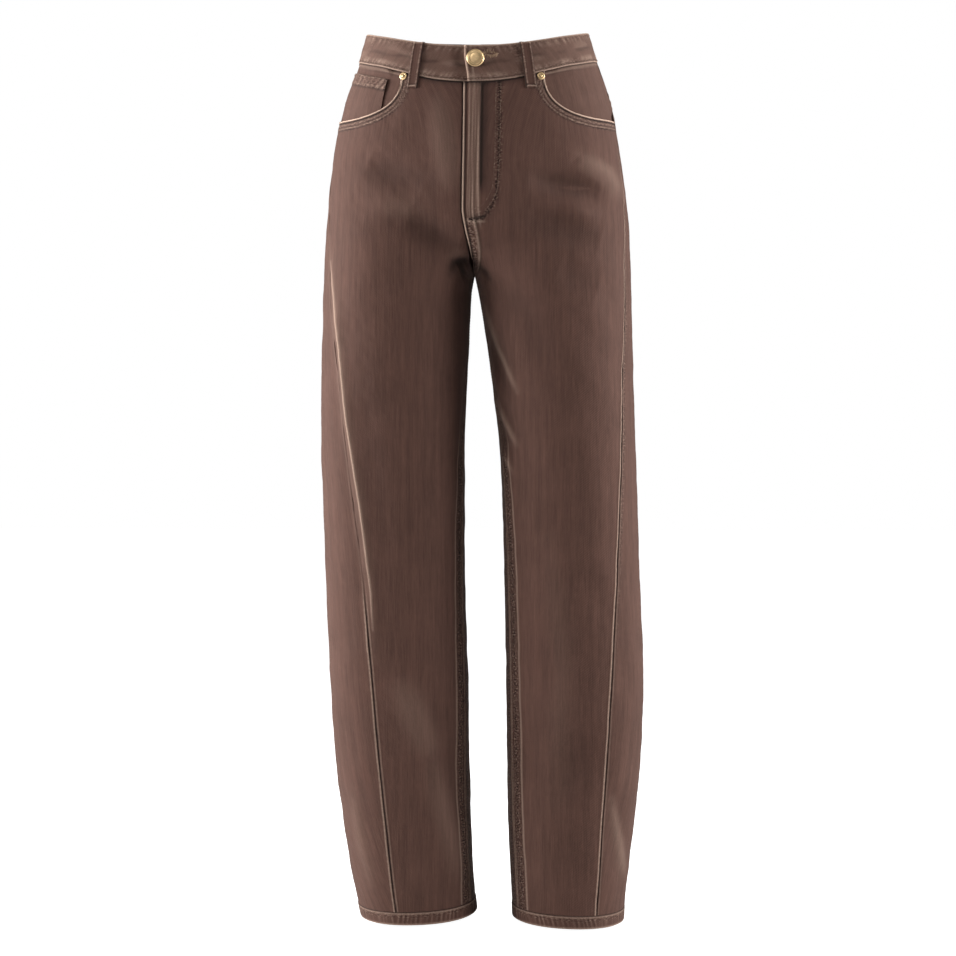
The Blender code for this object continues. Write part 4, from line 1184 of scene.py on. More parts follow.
def patch_pocket(half):
    across = 2 * graded(72, 3.0, 3.0) - 1
    down = graded(76, 3.0, 3.0)[:, None]
    half_width = POCKET["top_half"] + (POCKET["low_half"] - POCKET["top_half"]) * down
    x = SIGN[half] * (POCKET["x"] + half_width * across) + TORSO("centre_x", POCKET["top"])
    low = POCKET["sides"] + POCKET["point"] * (1 - np.abs(across))
    z = ORIGIN_DROP - POCKET["top"] - low * down + 3 * across
    seat, normal = on_cloth(f"back_{half}", x, z, "back")
    seat, normal = even_out(seat, 6), even_out(normal, 12)
    normal /= np.linalg.norm(normal, axis=-1, keepdims=True)
    cloth = Cloth(seat + (LAYER_GAP + CLOTH - 0.4) * normal, normal)
    edge = np.minimum(np.minimum(cloth.first, cloth.last), cloth.bottom)
    gathers = puckers(cloth.first + cloth.top, 6.0, 83)
    cloth.lift(roll_off(np.minimum(edge, cloth.top), 1.0) + 0.2 * gathers * bump(edge, 4, 3))
    hem = bump(cloth.top, 13, 1.0)
    cloth.lift(0.5 * (1 - smooth((cloth.top - 12) / 2)) + 0.2 * ripple(cloth.u, cloth.v, 40, 85))
    cloth.wear_and_painted_highlight += 0.42 * bump(np.minimum(edge, cloth.top), 0.2, 1.0)
    cloth.wear_and_painted_highlight += 0.25 * np.maximum(gathers, 0) * bump(edge, 4, 2.5)
    # Painted shade under the turned hem and inside the edges.
    cloth.tarnish_dye_and_painted_shade += 0.5 * hem + 0.3 * bump(edge, 2.2, 0.8)
    return cloth


pockets = {}
for half in ("right", "left"):
    pockets[half] = patch_pocket(half)
    pieces[f"patch_{half}"] = sew(f"patch_{half}", pockets[half], twill)
    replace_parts(pieces[f"patch_{half}"], f"back_pocket_{half}")

# %% [markdown]
# ## Behind the pocket mouths
#
# A facing of the same cloth closes each front pocket from behind, and the wearer's right one
# carries the small coin pocket, of which only the turned hem and a strip below it show. They keep
# less wear than the outside, so their finish is a warmer, lighter brown.

# %% Facings, coin pocket and fly shield
def under_layer(half, start, inner, top, low, depth, columns=56, rows=48):
    """A layer behind the front, from the side seam's angle inwards."""
    across = np.linspace(0, 1, columns + 1)
    angle = start + (inner - start) * across
    drop = top(angle) + (low(across) - top(angle)) * np.linspace(0, 1, rows + 1)[:, None]
    points, normals = torso_points(half, drop, angle + 0 * drop)
    cloth = Cloth(points, normals)
    flush = (1 - smooth((cloth.first - 3) / 14)) * (1 - smooth((drop - MOUTH_DROP + 12) / 8))
    flush = np.maximum(flush, (1 - smooth((cloth.top - 1) / 6)) * smooth((cloth.last - 24) / 8))
    cloth.points -= ((depth - 0.4) * (1 - flush) + 0.4)[..., None] * normals
    cloth.below = drop
    return cloth


RIVET_SPOT = (75.0, 5.0)
FACING_FOOT = 125.0
COIN = {"inner": 92.0, "top": 11.0, "foot": 107.0}
SHIELD = {"length": 128.0, "half_width": 21.0}
facings = {}
for half in ("right", "left"):
    corner_drop, _ = mouth_corner(half)
    start = side_angle(half, corner_drop) + np.radians(0.12)
    inner = angle_at_x(half, corner_drop, RIVET_SPOT[0] - 9)
    depth = CLOTH + LAYER_GAP if half == "left" else 2 * (CLOTH + LAYER_GAP)
    top, foot = lambda a: waist_seam(a) + GAP / 2, lambda c: FACING_FOOT - 14 * c**2
    cloth = under_layer(half, start, inner, top, foot, depth)
    cloth.lift(0.35 * ripple(cloth.u, cloth.v, 30, 91))
    # Painted shade under the waistband and along a line below it.
    cloth.tarnish_dye_and_painted_shade += 0.85 * bump(cloth.top, 0, 1.6) + 0.35 * bump(cloth.top, 4.5, 1.2)
    cloth.wear_and_painted_highlight += 0.35 * bump(cloth.top, 2.6, 1.2)
    facings[half] = cloth
    pieces[f"facing_{half}"] = sew(f"facing_{half}", cloth, facing)
    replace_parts(pieces[f"facing_{half}"], f"pocket_facing_{half}")

corner_drop, _ = mouth_corner("right")
start = side_angle("right", corner_drop) + np.radians(1.5)
inner = angle_at_x("right", corner_drop, COIN["inner"])
top, foot = lambda a: waist_seam(a) + COIN["top"], lambda c: COIN["foot"]
cloth = under_layer("right", start, inner, top, foot, CLOTH + LAYER_GAP)
hem = 1 - smooth((cloth.top - 12) / 1.5)
crimps = puckers(cloth.u + 0.6 * cloth.top, 8.0, 95)
cloth.lift(roll_off(cloth.top, 0.9) + 0.5 * hem * (1 + 0.5 * crimps) + 0.3 * ripple(cloth.u, cloth.v, 24, 97))
cloth.wear_and_painted_highlight += 0.25 * bump(cloth.top, 0.5, 1.0) + 0.15 * bump(cloth.top, 10.5, 1.0)
cloth.wear_and_painted_highlight += 0.3 * hem * np.maximum(crimps, 0)
# Painted shade under the coin pocket's hem, in its crimps and at its inner end.
cloth.tarnish_dye_and_painted_shade += 0.6 * bump(cloth.top, 13.2, 1.2)
cloth.tarnish_dye_and_painted_shade += hem * (0.3 * np.maximum(-crimps, 0) + 0.5 * bump(cloth.last, 0, 1.0))
cloth.scruff += 0.45 * hem + 0.2 * bump(cloth.last, 2, 2)
coin = cloth
pieces["coin_cloth"] = sew("coin_cloth", cloth, facing)
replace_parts(pieces["coin_cloth"], "coin_pocket")

top = waist_seam(np.pi / 2)
drop = np.linspace(top + 2 * GAP, top + SHIELD["length"], 33)[:, None]
angle = angle_at_x("left", drop, SHIELD["half_width"] * np.linspace(1, -1, 17))
shield = Cloth(*torso_points("left", drop + 0 * angle, angle, -(CLOTH + LAYER_GAP)))
pieces["fly_lining"] = sew("fly_lining", shield, twill)
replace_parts(pieces["fly_lining"], "fly_shield")

# %% [markdown]
# ## Waistband
#
# The band is one strip, folded double, whose left end laps over the right end under the button. Its
# two long edges are topstitched, which draws them into puckers, and washing leaves a soft wrinkle
# along its middle and a pale worn rim on top.

# %% The band
UNDERLAP = 26.0


def tab_end(down):
    """The lapped end leans: its top lies further over than its foot."""
    return FLY_LAP - 4.6 * smooth((down - 0.15) / 0.85)


down = graded(28, 3.0, 3.0, 0.12)
even = graded(240, 0.0, 0.0)
grids = []
for half in ("right", "left"):
    seam = waist_seam(np.pi / 2)
    lap = UNDERLAP + 0 * down if half == "right" else tab_end(down)
    front_angle = angle_at_x(half, seam, -lap)[:, None]
    flat_share = even_shares(on_torso, half, seam, front_angle[0, 0], -np.pi / 2, even)
    angle = front_angle + (-np.pi / 2 - front_angle) * flat_share
    top = WAIST("top_drop", np.sin(angle))
    drop = top + (waist_seam(angle) - GAP / 2 - top) * down[:, None]
    outer, normals = torso_points(half, drop, angle)
    beyond = outer[..., 0] - TORSO("centre_x", drop)
    under = BAND_WALL + GAP if half == "right" else 0
    sink = under * smooth((beyond + tab_end(down)[:, None] + 16) / 14)
    grids.append((outer + (BAND_PROUD - sink)[..., None] * normals, normals))
band = Cloth(*(np.concatenate([right, left[:, -2::-1]], axis=1) for right, left in zip(*grids)))
band.v = band.top
edges = np.minimum(band.top, band.bottom)
low_gathers = puckers(band.u, 6.5, 101) * bump(band.bottom, 4.5, 3.5)
top_gathers = puckers(band.u, 7.5, 103) * bump(band.top, 5, 3.5)
slack = ripple(band.u, 3 * band.v, 46, 105)
wrinkle = bump(band.top + 2.5 * ripple(band.u, 0 * band.u, 50, 107), 0.52 * (band.top + band.bottom), 1.8)
wrinkle = wrinkle * smooth(0.5 + ripple(band.u, 0 * band.u, 38, 109))
band.lift(roll_off(edges, 1.1) + 0.25 * low_gathers + 0.22 * top_gathers + 0.3 * slack - 0.45 * wrinkle)
band.wear_and_painted_highlight += 0.75 * bump(band.top, 0.3, 1.0) + 0.45 * bump(band.bottom, 0.5, 0.8)
band.wear_and_painted_highlight += 0.05 + 0.07 * smooth(slack) * bump(band.top, 0.5 * (band.top + band.bottom), 14)
band.scruff += 0.18 * bump(band.top, 4.5, 2.5) + 0.3 * bump(band.bottom, 4.0, 2.5)
band.scruff += 0.5 * smooth(ripple(band.u, 0 * band.u, 34, 117) - 0.2) * bump(band.top, 12, 9)
band.wear_and_painted_highlight += 0.16 * np.maximum(low_gathers, 0) + 0.14 * np.maximum(top_gathers, 0)
band.wear_and_painted_highlight += 0.10 * bump(band.bottom, 5.5, 3.0) * (0.6 + ripple(band.u, 0 * band.u, 25, 113))
# Painted shade in the groove above the lower edge, in the wrinkle and between the top gathers.
band.tarnish_dye_and_painted_shade += 0.6 * bump(band.bottom, 2.2, 0.9) + 0.45 * wrinkle + 0.2 * np.maximum(-top_gathers, 0)
tab = band.last
band.lift(roll_off(tab, 1.2) + 0.3 * bump(tab, 1.6, 1.8) - 0.25 * bump(tab, 5.2, 1.2))
band.wear_and_painted_highlight += 0.8 * bump(tab, 0.5, 1.1) + 0.25 * bump(tab, 6.8, 0.9)
# Painted shade in the groove beside the lapped end.
band.tarnish_dye_and_painted_shade += 0.45 * bump(tab, 4.6, 1.0)
pieces["waistband_cloth"] = sew("waistband_cloth", band, twill, wall=BAND_WALL)
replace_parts(pieces["waistband_cloth"], "waistband")

# %% [markdown]
# ## Belt loops
#
# Each loop is a strip folded in three, so it is thickest at its two long edges, which rub pale,
# while its middle stays a shallow channel. It stands off the band, and its folded foot is tacked.

# %% Five loops
# Belt loops: half of the waist, face, distance of top and foot from the centre line.
LOOPS = [
    ("belt_loop_front_right", "right", "front", 57.5, 65.0),
    ("belt_loop_front_left", "left", "front", 57.5, 65.0),
    ("belt_loop_back_right", "right", "back", 88.0, 92.0),
    ("belt_loop_back_left", "left", "back", 88.0, 92.0),
    ("belt_loop_centre_back", "left", "back", 0.0, 0.0),
]

# How far a loop's inner face stands off the base surface, down its length.
LOOP_STAND_OFF = Table(
    ("share", "offset"), [(0, 0.85), (0.12, 1.7), (0.6, 1.7), (0.84, 1.1), (1, 0.4)]
)

LOOP_WIDTH = 11.8
LOOP_THICK = 1.6
LOOP_BELOW_SEAM = 15.0


def loop(half, face, top_x, foot_x, seed):
    share = graded(64, 2.0, 3.0, 0.08)[:, None]
    distance = top_x + (foot_x - top_x) * share + LOOP_WIDTH * (graded(24, 2.0, 2.0, 0.15) - 0.5)
    middle = FACE[face] * angle_at_x(half, waist_seam(np.pi / 4), (top_x + foot_x) / 2)
    top = WAIST("top_drop", np.sin(middle)) + 0.5
    drop = top + (waist_seam(middle) + LOOP_BELOW_SEAM - top) * share + 0 * distance
    angle = FACE[face] * angle_at_x(half, drop, distance)
    points, normals = torso_points(half, drop, angle)
    stand_off = LOOP_STAND_OFF("offset", share) + 0 * distance
    cloth = Cloth(points + (stand_off + LOOP_THICK)[..., None] * normals, normals)
    side = np.minimum(cloth.first, cloth.last)
    gathers = puckers(cloth.v, 5.0, seed)
    cloth.lift(roll_off(side, 1.1) + (0.45 + 0.15 * gathers) * bump(side, 2.0, 1.2))
    cloth.lift(roll_off(cloth.bottom, 1.0) + 0.5 * bump(cloth.bottom, 2.0, 1.6) + roll_off(cloth.top, 1.0))
    cloth.wear_and_painted_highlight += (0.22 + 0.12 * gathers) * bump(side, 1.7, 0.6) + 0.45 * bump(cloth.bottom, 2.4, 0.7)
    cloth.scruff += 0.4 * bump(side, 2.2, 1.2) + 0.4 * bump(cloth.bottom, 3.5, 2.0)
    cloth.wear_and_painted_highlight += 0.4 * bump(cloth.top, 0.6, 1.0)
    # Painted shadow along the loop's sides and above its folded foot.
    cloth.tarnish_dye_and_painted_shade += 0.45 * bump(cloth.bottom, 4.2, 0.9)
    cloth.tarnish_dye_and_painted_shade += 0.25 * bump(side, 3.4, 0.8) + 0.95 * bump(side, 0, 0.8)
    return cloth


loops = {}
for seed, (node, half, face, top_x, foot_x) in enumerate(LOOPS):
    name = node + "_cloth"
    loops[name] = loop(half, face, top_x, foot_x, 120 + seed)
    pieces[name] = sew(name, loops[name], twill, wall=LOOP_THICK)
    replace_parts(pieces[name], node)

# %% [markdown]
# ## Hems
#
# A narrow turned hem is sewn all round each leg. The feed of the machine drags its top layer along,
# which leaves small upright puckers that the wash rubs pale.

# %% Hem rings
hems = {}
for half in ("right", "left"):
    start = HEMS[half]["drop"] - HEM_BAND + GAP / 2
    drops = start + HEM_BAND * graded(16, 2.0, 2.0, 0.12)
    front_row, front_normals = lower_rows(half, "front", drops, np.linspace(0, 1, 113))
    back_row, back_normals = lower_rows(half, "back", drops, np.linspace(0, 1, 177))
    points = np.concatenate([front_row, back_row[:, -2:0:-1]], axis=1)
    normals = np.concatenate([front_normals, back_normals[:, -2:0:-1]], axis=1)
    cloth = Cloth(points + BAND_PROUD * normals, normals)
    cloth.v = cloth.top
    edge = np.minimum(cloth.top, cloth.bottom)
    gathers = puckers(cloth.u + 0.2 * cloth.top, 5.5, 131) * bump(cloth.top, 7.5, 6.0)
    cloth.lift(roll_off(edge, 1.1) + 0.25 * gathers - 0.25 * bump(cloth.top, 2.8, 0.9))
    cloth.wear_and_painted_highlight += 0.55 * bump(cloth.bottom, 0.5, 1.2) + 0.40 * bump(cloth.top, 2.0, 0.9)
    cloth.wear_and_painted_highlight += 0.12 * np.maximum(gathers, 0)
    # Painted shade at the hem's top edge and between its puckers.
    cloth.tarnish_dye_and_painted_shade += 0.7 * bump(cloth.top, 0.2, 1.0) + 0.25 * np.maximum(-gathers, 0)
    cloth.scruff += 0.55 * bump(cloth.top, 4.5, 2.0)
    hems[half] = cloth
    pieces[f"hem_{half}"] = sew(f"hem_{half}", cloth, twill, wall=BAND_WALL, closed=True)
    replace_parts(pieces[f"hem_{half}"], f"hem_band_{half}")

# %% [markdown]
# ## Stitches
#
# A lockstitch shows as a row of short raised threads that dip into the cloth at each end. A bump
# map could draw them, but real threads catch the light and cast small shadows. So each stitch is a
# small spindle, and each group of seams is one mesh.

# %% Thread along a line
def spindles(points, normals, length, gap, thickness, jitter, seed):
    """Ends and normals of stitches along a line."""
    steps = np.linalg.norm(np.diff(points, axis=0), axis=1)
    along = np.concatenate([[0], np.cumsum(steps)])
    starts = np.arange(gap, along[-1] - length, length + gap)
    random = np.random.default_rng(seed)
    starts = starts + random.uniform(-0.25, 0.25, len(starts)) * gap
    read = lambda field, at: np.stack([np.interp(at, along, field[:, k]) for k in range(3)], -1)
    side = random.normal(0, jitter, (2, len(starts), 1))
    normal = read(normals, starts + length / 2)
    normal /= np.linalg.norm(normal, axis=1, keepdims=True)
    a, b = read(points, starts), read(points, starts + length)
    across = np.cross(normal, b - a)
    across /= np.linalg.norm(across, axis=1, keepdims=True)
    return a + side[0] * across, b + side[1] * across, normal, across, np.full(len(a), thickness)


RINGS = ((0.0, -0.25, 0.45), (0.22, 0.30, 1.0), (0.78, 0.30, 1.0), (1.0, -0.25, 0.45))
SPOKES = 5


def thread_mesh(name, stitches, finish, seed):
    """One mesh of all the stitches of a group."""
    a, b, normal, across, thickness = (np.concatenate(part) for part in zip(*stitches))
    rings = []
    for share, rise, girth in RINGS:
        centre = a + (b - a) * share + (rise * thickness)[:, None] * normal
        for k in range(SPOKES):
            turn = 2 * np.pi * k / SPOKES
            reach = (0.5 * girth * thickness)[:, None]
            rings.append(centre + reach * (np.cos(turn) * across + np.sin(turn) * normal))
    points = np.stack(rings, 1)
    count, each = points.shape[:2]
    pattern = [list(range(SPOKES)), list(range(each - 1, each - 1 - SPOKES, -1))]
    for r in range(len(RINGS) - 1):
        for k in range(SPOKES):
            n = (k + 1) % SPOKES
            pattern.append([r * SPOKES + k, (r + 1) * SPOKES + k, (r + 1) * SPOKES + n, r * SPOKES + n])
    faces = [[v + i * each for v in face] for i in range(count) for face in pattern]
    mesh = bpy.data.meshes.new(name)
    mesh.from_pydata((points.reshape(-1, 3) * MM).tolist(), [], faces)
    wear_and_painted_highlight = np.random.default_rng(seed).uniform(0.0, 0.55, count)
    for layer, values in (("wear_and_painted_highlight", wear_and_painted_highlight), ("tarnish_dye_and_painted_shade", 0 * wear_and_painted_highlight)):
        store = mesh.attributes.new(layer, "FLOAT", "POINT")
        store.data.foreach_set("value", np.repeat(values, each).astype(np.float32))
    mesh.shade_smooth()
    piece = bpy.data.objects.new(name, mesh)
    bpy.context.scene.collection.objects.link(piece)
    mesh.materials.append(finish)
    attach(piece, "root")
    print(f"{name}: {count} stitches")
    pieces[name] = piece
    return piece


STITCH = {"length": 2.6, "gap": 0.7, "thickness": 0.55, "jitter": 0.08}


def along_edge(cloth, edge, distance, seed, start=0.0, end=1.0):
    return spindles(*cloth.line(edge, distance, start, end), **STITCH, seed=seed)


# %% Stitches at the edges
stitches = []
for edge, distance, seed in (("bottom", 2.2, 1), ("top", 2.6, 2), ("last", 2.4, 3)):
    stitches.append(along_edge(band, edge, distance, seed))
for half in ("right", "left"):
    stitches.append(along_edge(hems[half], "top", 2.6, 4))
    stitches.append(along_edge(backs[half], "top", 2.2, 5))
    stitches.append(along_edge(backs[half], "top", 8.0, 6))
    for distance in (2.0, 8.0):
        stitches.append(along_edge(backs[half], "last", distance, 7, 0.0, 0.42))
    for distance in (1.8, 7.2):
        stitches.append(along_edge(fronts[half], "last", distance, 8, 0.36, 1.0))
    for edge in ("first", "last", "bottom"):
        for distance in (1.6, 7.0):
            stitches.append(along_edge(pockets[half], edge, distance, 9))
    stitches.append(along_edge(pockets[half], "top", 11.5, 10))
thread_mesh("seam_stitches", stitches, thread, 1)


# %% Stitches inside the panels
def snapped(name, points, normals):
    """A line laid on a piece, from one that runs close above it."""
    tree = trees[name] if name in trees else trees.setdefault(name, tree_of(pieces[name]))
    found = [tree.find_nearest(Vector((p + n) * MM)) for p, n in zip(points, normals)]
    return np.array([np.array(f[0]) / MM for f in found]), np.array([np.array(f[1]) for f in found])


def beside(points, normals, distance):
    """The same line, moved sideways along the surface."""
    way = np.cross(normals, np.gradient(points, axis=0))
    return points + distance * way / np.linalg.norm(way, axis=1, keepdims=True)


def line_on_front(half, spots):
    """A stitch line through (x, drop) places of the front."""
    spots = np.array(spots, float)
    length = np.concatenate([[0], np.cumsum(np.linalg.norm(np.diff(spots, axis=0), axis=1))])
    at = np.linspace(0, length[-1], max(12, int(length[-1] / 1.5)))
    x, drop = (np.interp(at, length, spots[:, k]) for k in (0, 1))
    kernel = np.hanning(9) / np.hanning(9).sum()
    for _ in range(2):
        x, drop = (np.convolve(np.pad(c, 4, mode="edge"), kernel, "valid") for c in (x, drop))
    points, normals = on_cloth(f"front_{half}", x, ORIGIN_DROP - drop)
    good = np.isfinite(points[:, 0])
    return points[good], normals[good]


stitches = []
for half in ("right", "left"):
    base, normal = torso_points(half, *mouth_edge(half, np.linspace(0.01, 0.99, 140)))
    way = -SIGN[half]
    for distance in (4.6, 9.8):
        line = snapped(f"front_{half}", beside(base, normal, way * distance), normal)
        stitches.append(spindles(*line, **STITCH, seed=21))
J_STITCH = [(30.5, 62), (29.3, 148), (27.0, 180), (21.0, 192), (14.0, 201), (2.0, 203.5)]
for shift in (0.0, 5.2):
    spots = [(x - shift, drop - 0.6 * shift) for x, drop in J_STITCH]
    stitches.append(spindles(*line_on_front("left", spots), **STITCH, seed=22))
thread_mesh("panel_stitches", stitches, thread, 2)

# %% [markdown]
# ## Button, buttonhole and rivets
#
# The shank button is a pressed brass cap: a raised bright rim, a fine inner ring and a hammered
# middle. It is turned from a profile, as on a lathe. The buttonhole beside
# it is a slit worked round with pale frayed thread. The rivets at the pocket corners are small
# pressed caps of the same brass.

# %% Worn brass
brass_group, given, result = new_group(
    "Worn brass",
    [
        ("Place", VECTOR, None),
        ("Metal", RGB, (0.80, 0.57, 0.31, 1)),
        ("Tarnish", RGB, (0.10, 0.06, 0.03, 1)),
        ("Hollow", NUMBER, 0.0),
    ],
    [("Color", RGB), ("Roughness", NUMBER), ("Height", NUMBER)],
)
t = Tree(brass_group)
cells = {"Vector": given.outputs["Place"], "Scale": 900.0}
hammered = t.node("ShaderNodeTexVoronoi", cells, feature="SMOOTH_F1").outputs["Distance"]
stain = t.noise(given.outputs["Place"], 260.0, 3.0, 0.6)
stained = t.math("MULTIPLY", t.ramp(stain, 0.45, 0.75), 0.30)
tarnished = t.math("ADD", t.math("MULTIPLY", given.outputs["Hollow"], 0.85), stained, clamp=True)
t.put(result.inputs["Color"], t.mix(tarnished, given.outputs["Metal"], given.outputs["Tarnish"]))
t.put(result.inputs["Roughness"], t.math("MULTIPLY_ADD", tarnished, 0.20, 0.42))
t.put(result.inputs["Height"], hammered)

brass = bpy.data.materials.new("worn_brass")
brass.use_nodes = True
t = Tree(brass.node_tree)
shader = brass.node_tree.nodes["Principled BSDF"]
group = t.node("ShaderNodeGroup", node_tree=brass_group)
t.put(group.inputs["Place"], t.node("ShaderNodeTexCoord").outputs["Object"])
t.put(group.inputs["Hollow"], t.node("ShaderNodeAttribute", attribute_name="tarnish_dye_and_painted_shade").outputs["Fac"])
t.put(shader.inputs["Base Color"], group.outputs["Color"])
t.put(shader.inputs["Roughness"], group.outputs["Roughness"])
relief = t.node("ShaderNodeBump", {"Height": group.outputs["Height"], "Strength": 0.35, "Distance": 0.0003})
t.put(shader.inputs["Normal"], relief.outputs[0])
shader.inputs["Metallic"].default_value = 1.0


# %% Turned caps
def turned(name, profile, spot, normal, hollow):
    """A profile of radius, height and tarnish, run round the axis that stands on the cloth."""
    steps = 64
    turns = np.linspace(0, 2 * np.pi, steps, endpoint=False)
    rings = np.array([[(r * np.cos(a), r * np.sin(a), h) for a in turns] for r, h, _ in profile])
    faces = [list(range(steps)), list(range(rings[..., 0].size - 1, rings[..., 0].size - 1 - steps, -1))]
    for k in range(len(profile) - 1):
        for j in range(steps):
            n = (j + 1) % steps
            faces.append([k * steps + n, k * steps + j, (k + 1) * steps + j, (k + 1) * steps + n])
    frame_of = Vector(normal).to_track_quat("Z", "Y").to_matrix()
    points = rings.reshape(-1, 3) @ np.array(frame_of).T + spot
    mesh = bpy.data.meshes.new(name)
    mesh.from_pydata((points * MM).tolist(), [], faces)
    store = mesh.attributes.new("tarnish_dye_and_painted_shade", "FLOAT", "POINT")
    values = np.repeat([tarnish for _, _, tarnish in profile], steps) * hollow
    store.data.foreach_set("value", values.astype(np.float32))
    mesh.shade_smooth()
    mesh.set_sharp_from_angle(angle=math.radians(45))
    piece = bpy.data.objects.new(name, mesh)
    bpy.context.scene.collection.objects.link(piece)
    mesh.materials.append(brass)
    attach(piece, "root")
    pieces[name] = piece
    return piece


# Columns: radius, height from the cloth, tarnish.
BUTTON = [
    (0.2, 3.30, 0.0), (3.0, 3.35, 0.0), (5.6, 3.30, 0.02),
    (6.0, 3.1, 0.5), (6.4, 3.2, 0.1), (7.6, 3.15, 0.05),
    (8.0, 3.0, 0.35), (8.4, 3.45, 0.0), (9.0, 3.6, 0.0), (9.5, 3.3, 0.1), (9.8, 2.7, 0.6),
    (9.8, 2.3, 1.0), (9.4, 1.5, 1.0), (5.0, 1.1, 1.0), (4.5, 0.0, 1.0), (0.2, 0.0, 1.0),
]
RIVET = [
    (0.1, 1.7, 0.0), (1.0, 1.65, 0.0), (1.5, 1.2, 0.2), (1.9, 0.75, 0.9), (2.5, 0.85, 0.3), (3.4, 0.95, 0.0),
    (4.0, 0.7, 0.1), (4.3, 0.3, 0.6), (4.3, 0.0, 1.0), (0.1, 0.0, 1.0),
]
BUTTON_SPOT = (2.7, 36.0)
drop = np.array([BUTTON_SPOT[1]])
angle = angle_at_x("left", drop, BUTTON_SPOT[0] - TORSO("centre_x", drop))
points, normals = torso_points("left", drop, angle, BAND_PROUD + GAP)
button = turned("button_cap", BUTTON, points[0], normals[0], 1.0)
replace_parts(button, "shank_button")
for half in ("right", "left"):
    drop = np.array([waist_seam(angle_at_x(half, waist_seam(np.pi / 4), RIVET_SPOT[0])) + RIVET_SPOT[1]])
    points, normals = torso_points(half, drop, angle_at_x(half, drop, RIVET_SPOT[0]), GAP)
    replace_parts(turned(f"rivet_cap_{half}", RIVET, points[0], normals[0], 1.0), f"rivet_{half}")

# %% Buttonhole
random = np.random.default_rng(151)
THREADS, MIDDLE = 66, 18.5
turns = np.linspace(0, 2 * np.pi, THREADS, endpoint=False)
x = MIDDLE + (8.0 + 0.6 * random.normal(size=THREADS)) * np.cos(turns)
z = 2.2 + 1.6 * np.sin(turns) * (0.9 + 0.3 * random.normal(size=THREADS)) - 0.06 * x - ORIGIN_DROP + 4.0
level = np.median(z)
slit = level + (z - level) * 0.35
ends = level + (z - level) * 2.3
inner, inner_normal = on_cloth("waistband_cloth", MIDDLE + (x - MIDDLE) * 0.93, slit)
outer, _ = on_cloth("waistband_cloth", MIDDLE + (x - MIDDLE) * 1.12, ends)
across = np.cross(inner_normal, outer - inner)
across /= np.linalg.norm(across, axis=1, keepdims=True)
girth = random.uniform(0.4, 0.8, THREADS)
thread_mesh("buttonhole_threads", [(inner, outer, inner_normal, across, girth)], frayed, 3)

# %% [markdown]
# ## Light and camera
#
# The photograph is a cut-out on white, lit softly from both sides, so that the outer edges of the
# legs glow and their middles stay dark. Two tall soft lights stand at the sides and a weak one in
# front. The camera looks from a little to the wearer's left, from 3.5 m away, as the photo does.

# %% Floor
mesh = bpy.data.meshes.new("floor")
FLOOR, REACH_OF_FLOOR = -0.976, 9.0
corners = [(x * REACH_OF_FLOOR, y * REACH_OF_FLOOR, FLOOR) for x, y in ((-1, -1), (1, -1), (1, 1), (-1, 1))]
mesh.from_pydata(corners, [], [(0, 1, 2, 3)])
floor = bpy.data.objects.new("floor", mesh)
bpy.context.scene.collection.objects.link(floor)
paper = bpy.data.materials.new("white_paper")
paper.use_nodes = True
t = Tree(paper.node_tree)
shader = paper.node_tree.nodes["Principled BSDF"]
shader.inputs["Base Color"].default_value = (0.50, 0.50, 0.50, 1)
shader.inputs["Roughness"].default_value = 0.9
shader.inputs["Emission Color"].default_value = (1, 1, 1, 1)
seen = t.node("ShaderNodeLightPath").outputs["Is Camera Ray"]
t.put(shader.inputs["Emission Strength"], t.math("MULTIPLY", seen, 1.0))
mesh.materials.append(paper)


# %% Lights
def soft_light(name, place, aim, size, power):
    lamp = bpy.data.lights.new(name, "AREA")
    lamp.shape = "RECTANGLE"
    lamp.size, lamp.size_y = size
    lamp.energy = power
    holder = bpy.data.objects.new(name, lamp)
    holder.location = place
    holder.rotation_euler = (Vector(aim) - Vector(place)).to_track_quat("-Z", "Z").to_euler()
    bpy.context.scene.collection.objects.link(holder)


soft_light("left_light", (-2.3, -0.12, 0.15), (0, 0, -0.45), (0.6, 2.2), 122)
soft_light("right_light", (2.3, -0.05, 0.15), (0, 0, -0.42), (0.6, 2.2), 90)
soft_light("front_light", (-1.4, -3.7, 2.3), (0, 0, -0.3), (1.4, 1.4), 40)

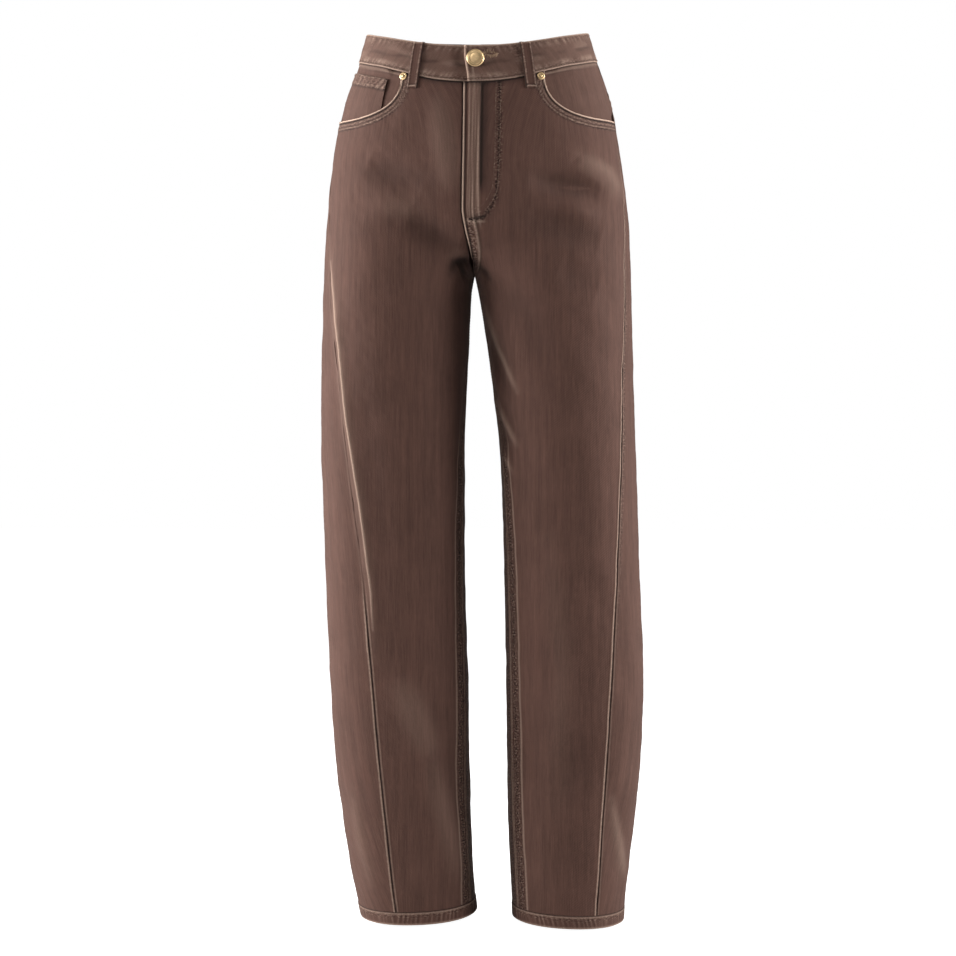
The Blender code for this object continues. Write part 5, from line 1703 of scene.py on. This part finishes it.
world = bpy.data.worlds.new("studio")
world.use_nodes = True
world.node_tree.nodes["Background"].inputs["Color"].default_value = (1, 1, 1, 1)
t = Tree(world.node_tree)
seen = t.node("ShaderNodeLightPath").outputs["Is Camera Ray"]
t.put(world.node_tree.nodes["Background"].inputs["Strength"], t.math("MULTIPLY_ADD", seen, 0.87, 0.13))
bpy.context.scene.world = world
bpy.context.scene.view_settings.view_transform = "Standard"

# %% Camera
AZIMUTH, REACH, RISE, AIM_HEIGHT = math.radians(3), 3.55, 0.115, -0.477
camera_data = bpy.data.cameras.new("camera")
camera_data.lens = 119.4
camera_data.sensor_width = 36
camera = bpy.data.objects.new("camera", camera_data)
away = Vector((math.sin(AZIMUTH), -math.cos(AZIMUTH), 0)) * REACH
aim = Vector((0.00045, 0, AIM_HEIGHT))
camera.location = aim + away + Vector((0, 0, RISE))
camera.rotation_euler = (aim - camera.location).to_track_quat("-Z", "Y").to_euler()
bpy.context.scene.collection.objects.link(camera)
bpy.context.scene.camera = camera

# %% [markdown]
# ## What each sheet was cut from
#
# A pattern cutter would ask for the flat size of each piece, so every sheet of cloth states the
# rectangle that it is cut from and its own area.

# %% Flat sizes
def state(name, cloth):
    points = cloth.points * MM
    a, b, c, d = points[:-1, :-1], points[1:, :-1], points[1:, 1:], points[:-1, 1:]
    area = 0.5 * float(np.linalg.norm(np.cross(c - a, d - b), axis=-1).sum())
    width, length = cloth.first.max() * MM, cloth.top.max() * MM
    if width * length < area:
        width = 1.01 * area / length
    print(f"{name}: {width:.3f} x {length:.3f} m, {area:.4f} m2")


for half in ("right", "left"):
    state(f"front_{half}", fronts[half])
    state(f"back_{half}", backs[half])
    state(f"patch_{half}", pockets[half])
    state(f"hem_{half}", hems[half])
    state(f"yoke_cloth_{half}", yokes[half])
    state(f"facing_{half}", facings[half])
state("waistband_cloth", band)
state("coin_cloth", coin)
state("fly_lining", shield)
for name, cloth in loops.items():
    state(name, cloth)

# %% Finish
print("pieces:", len(pieces))
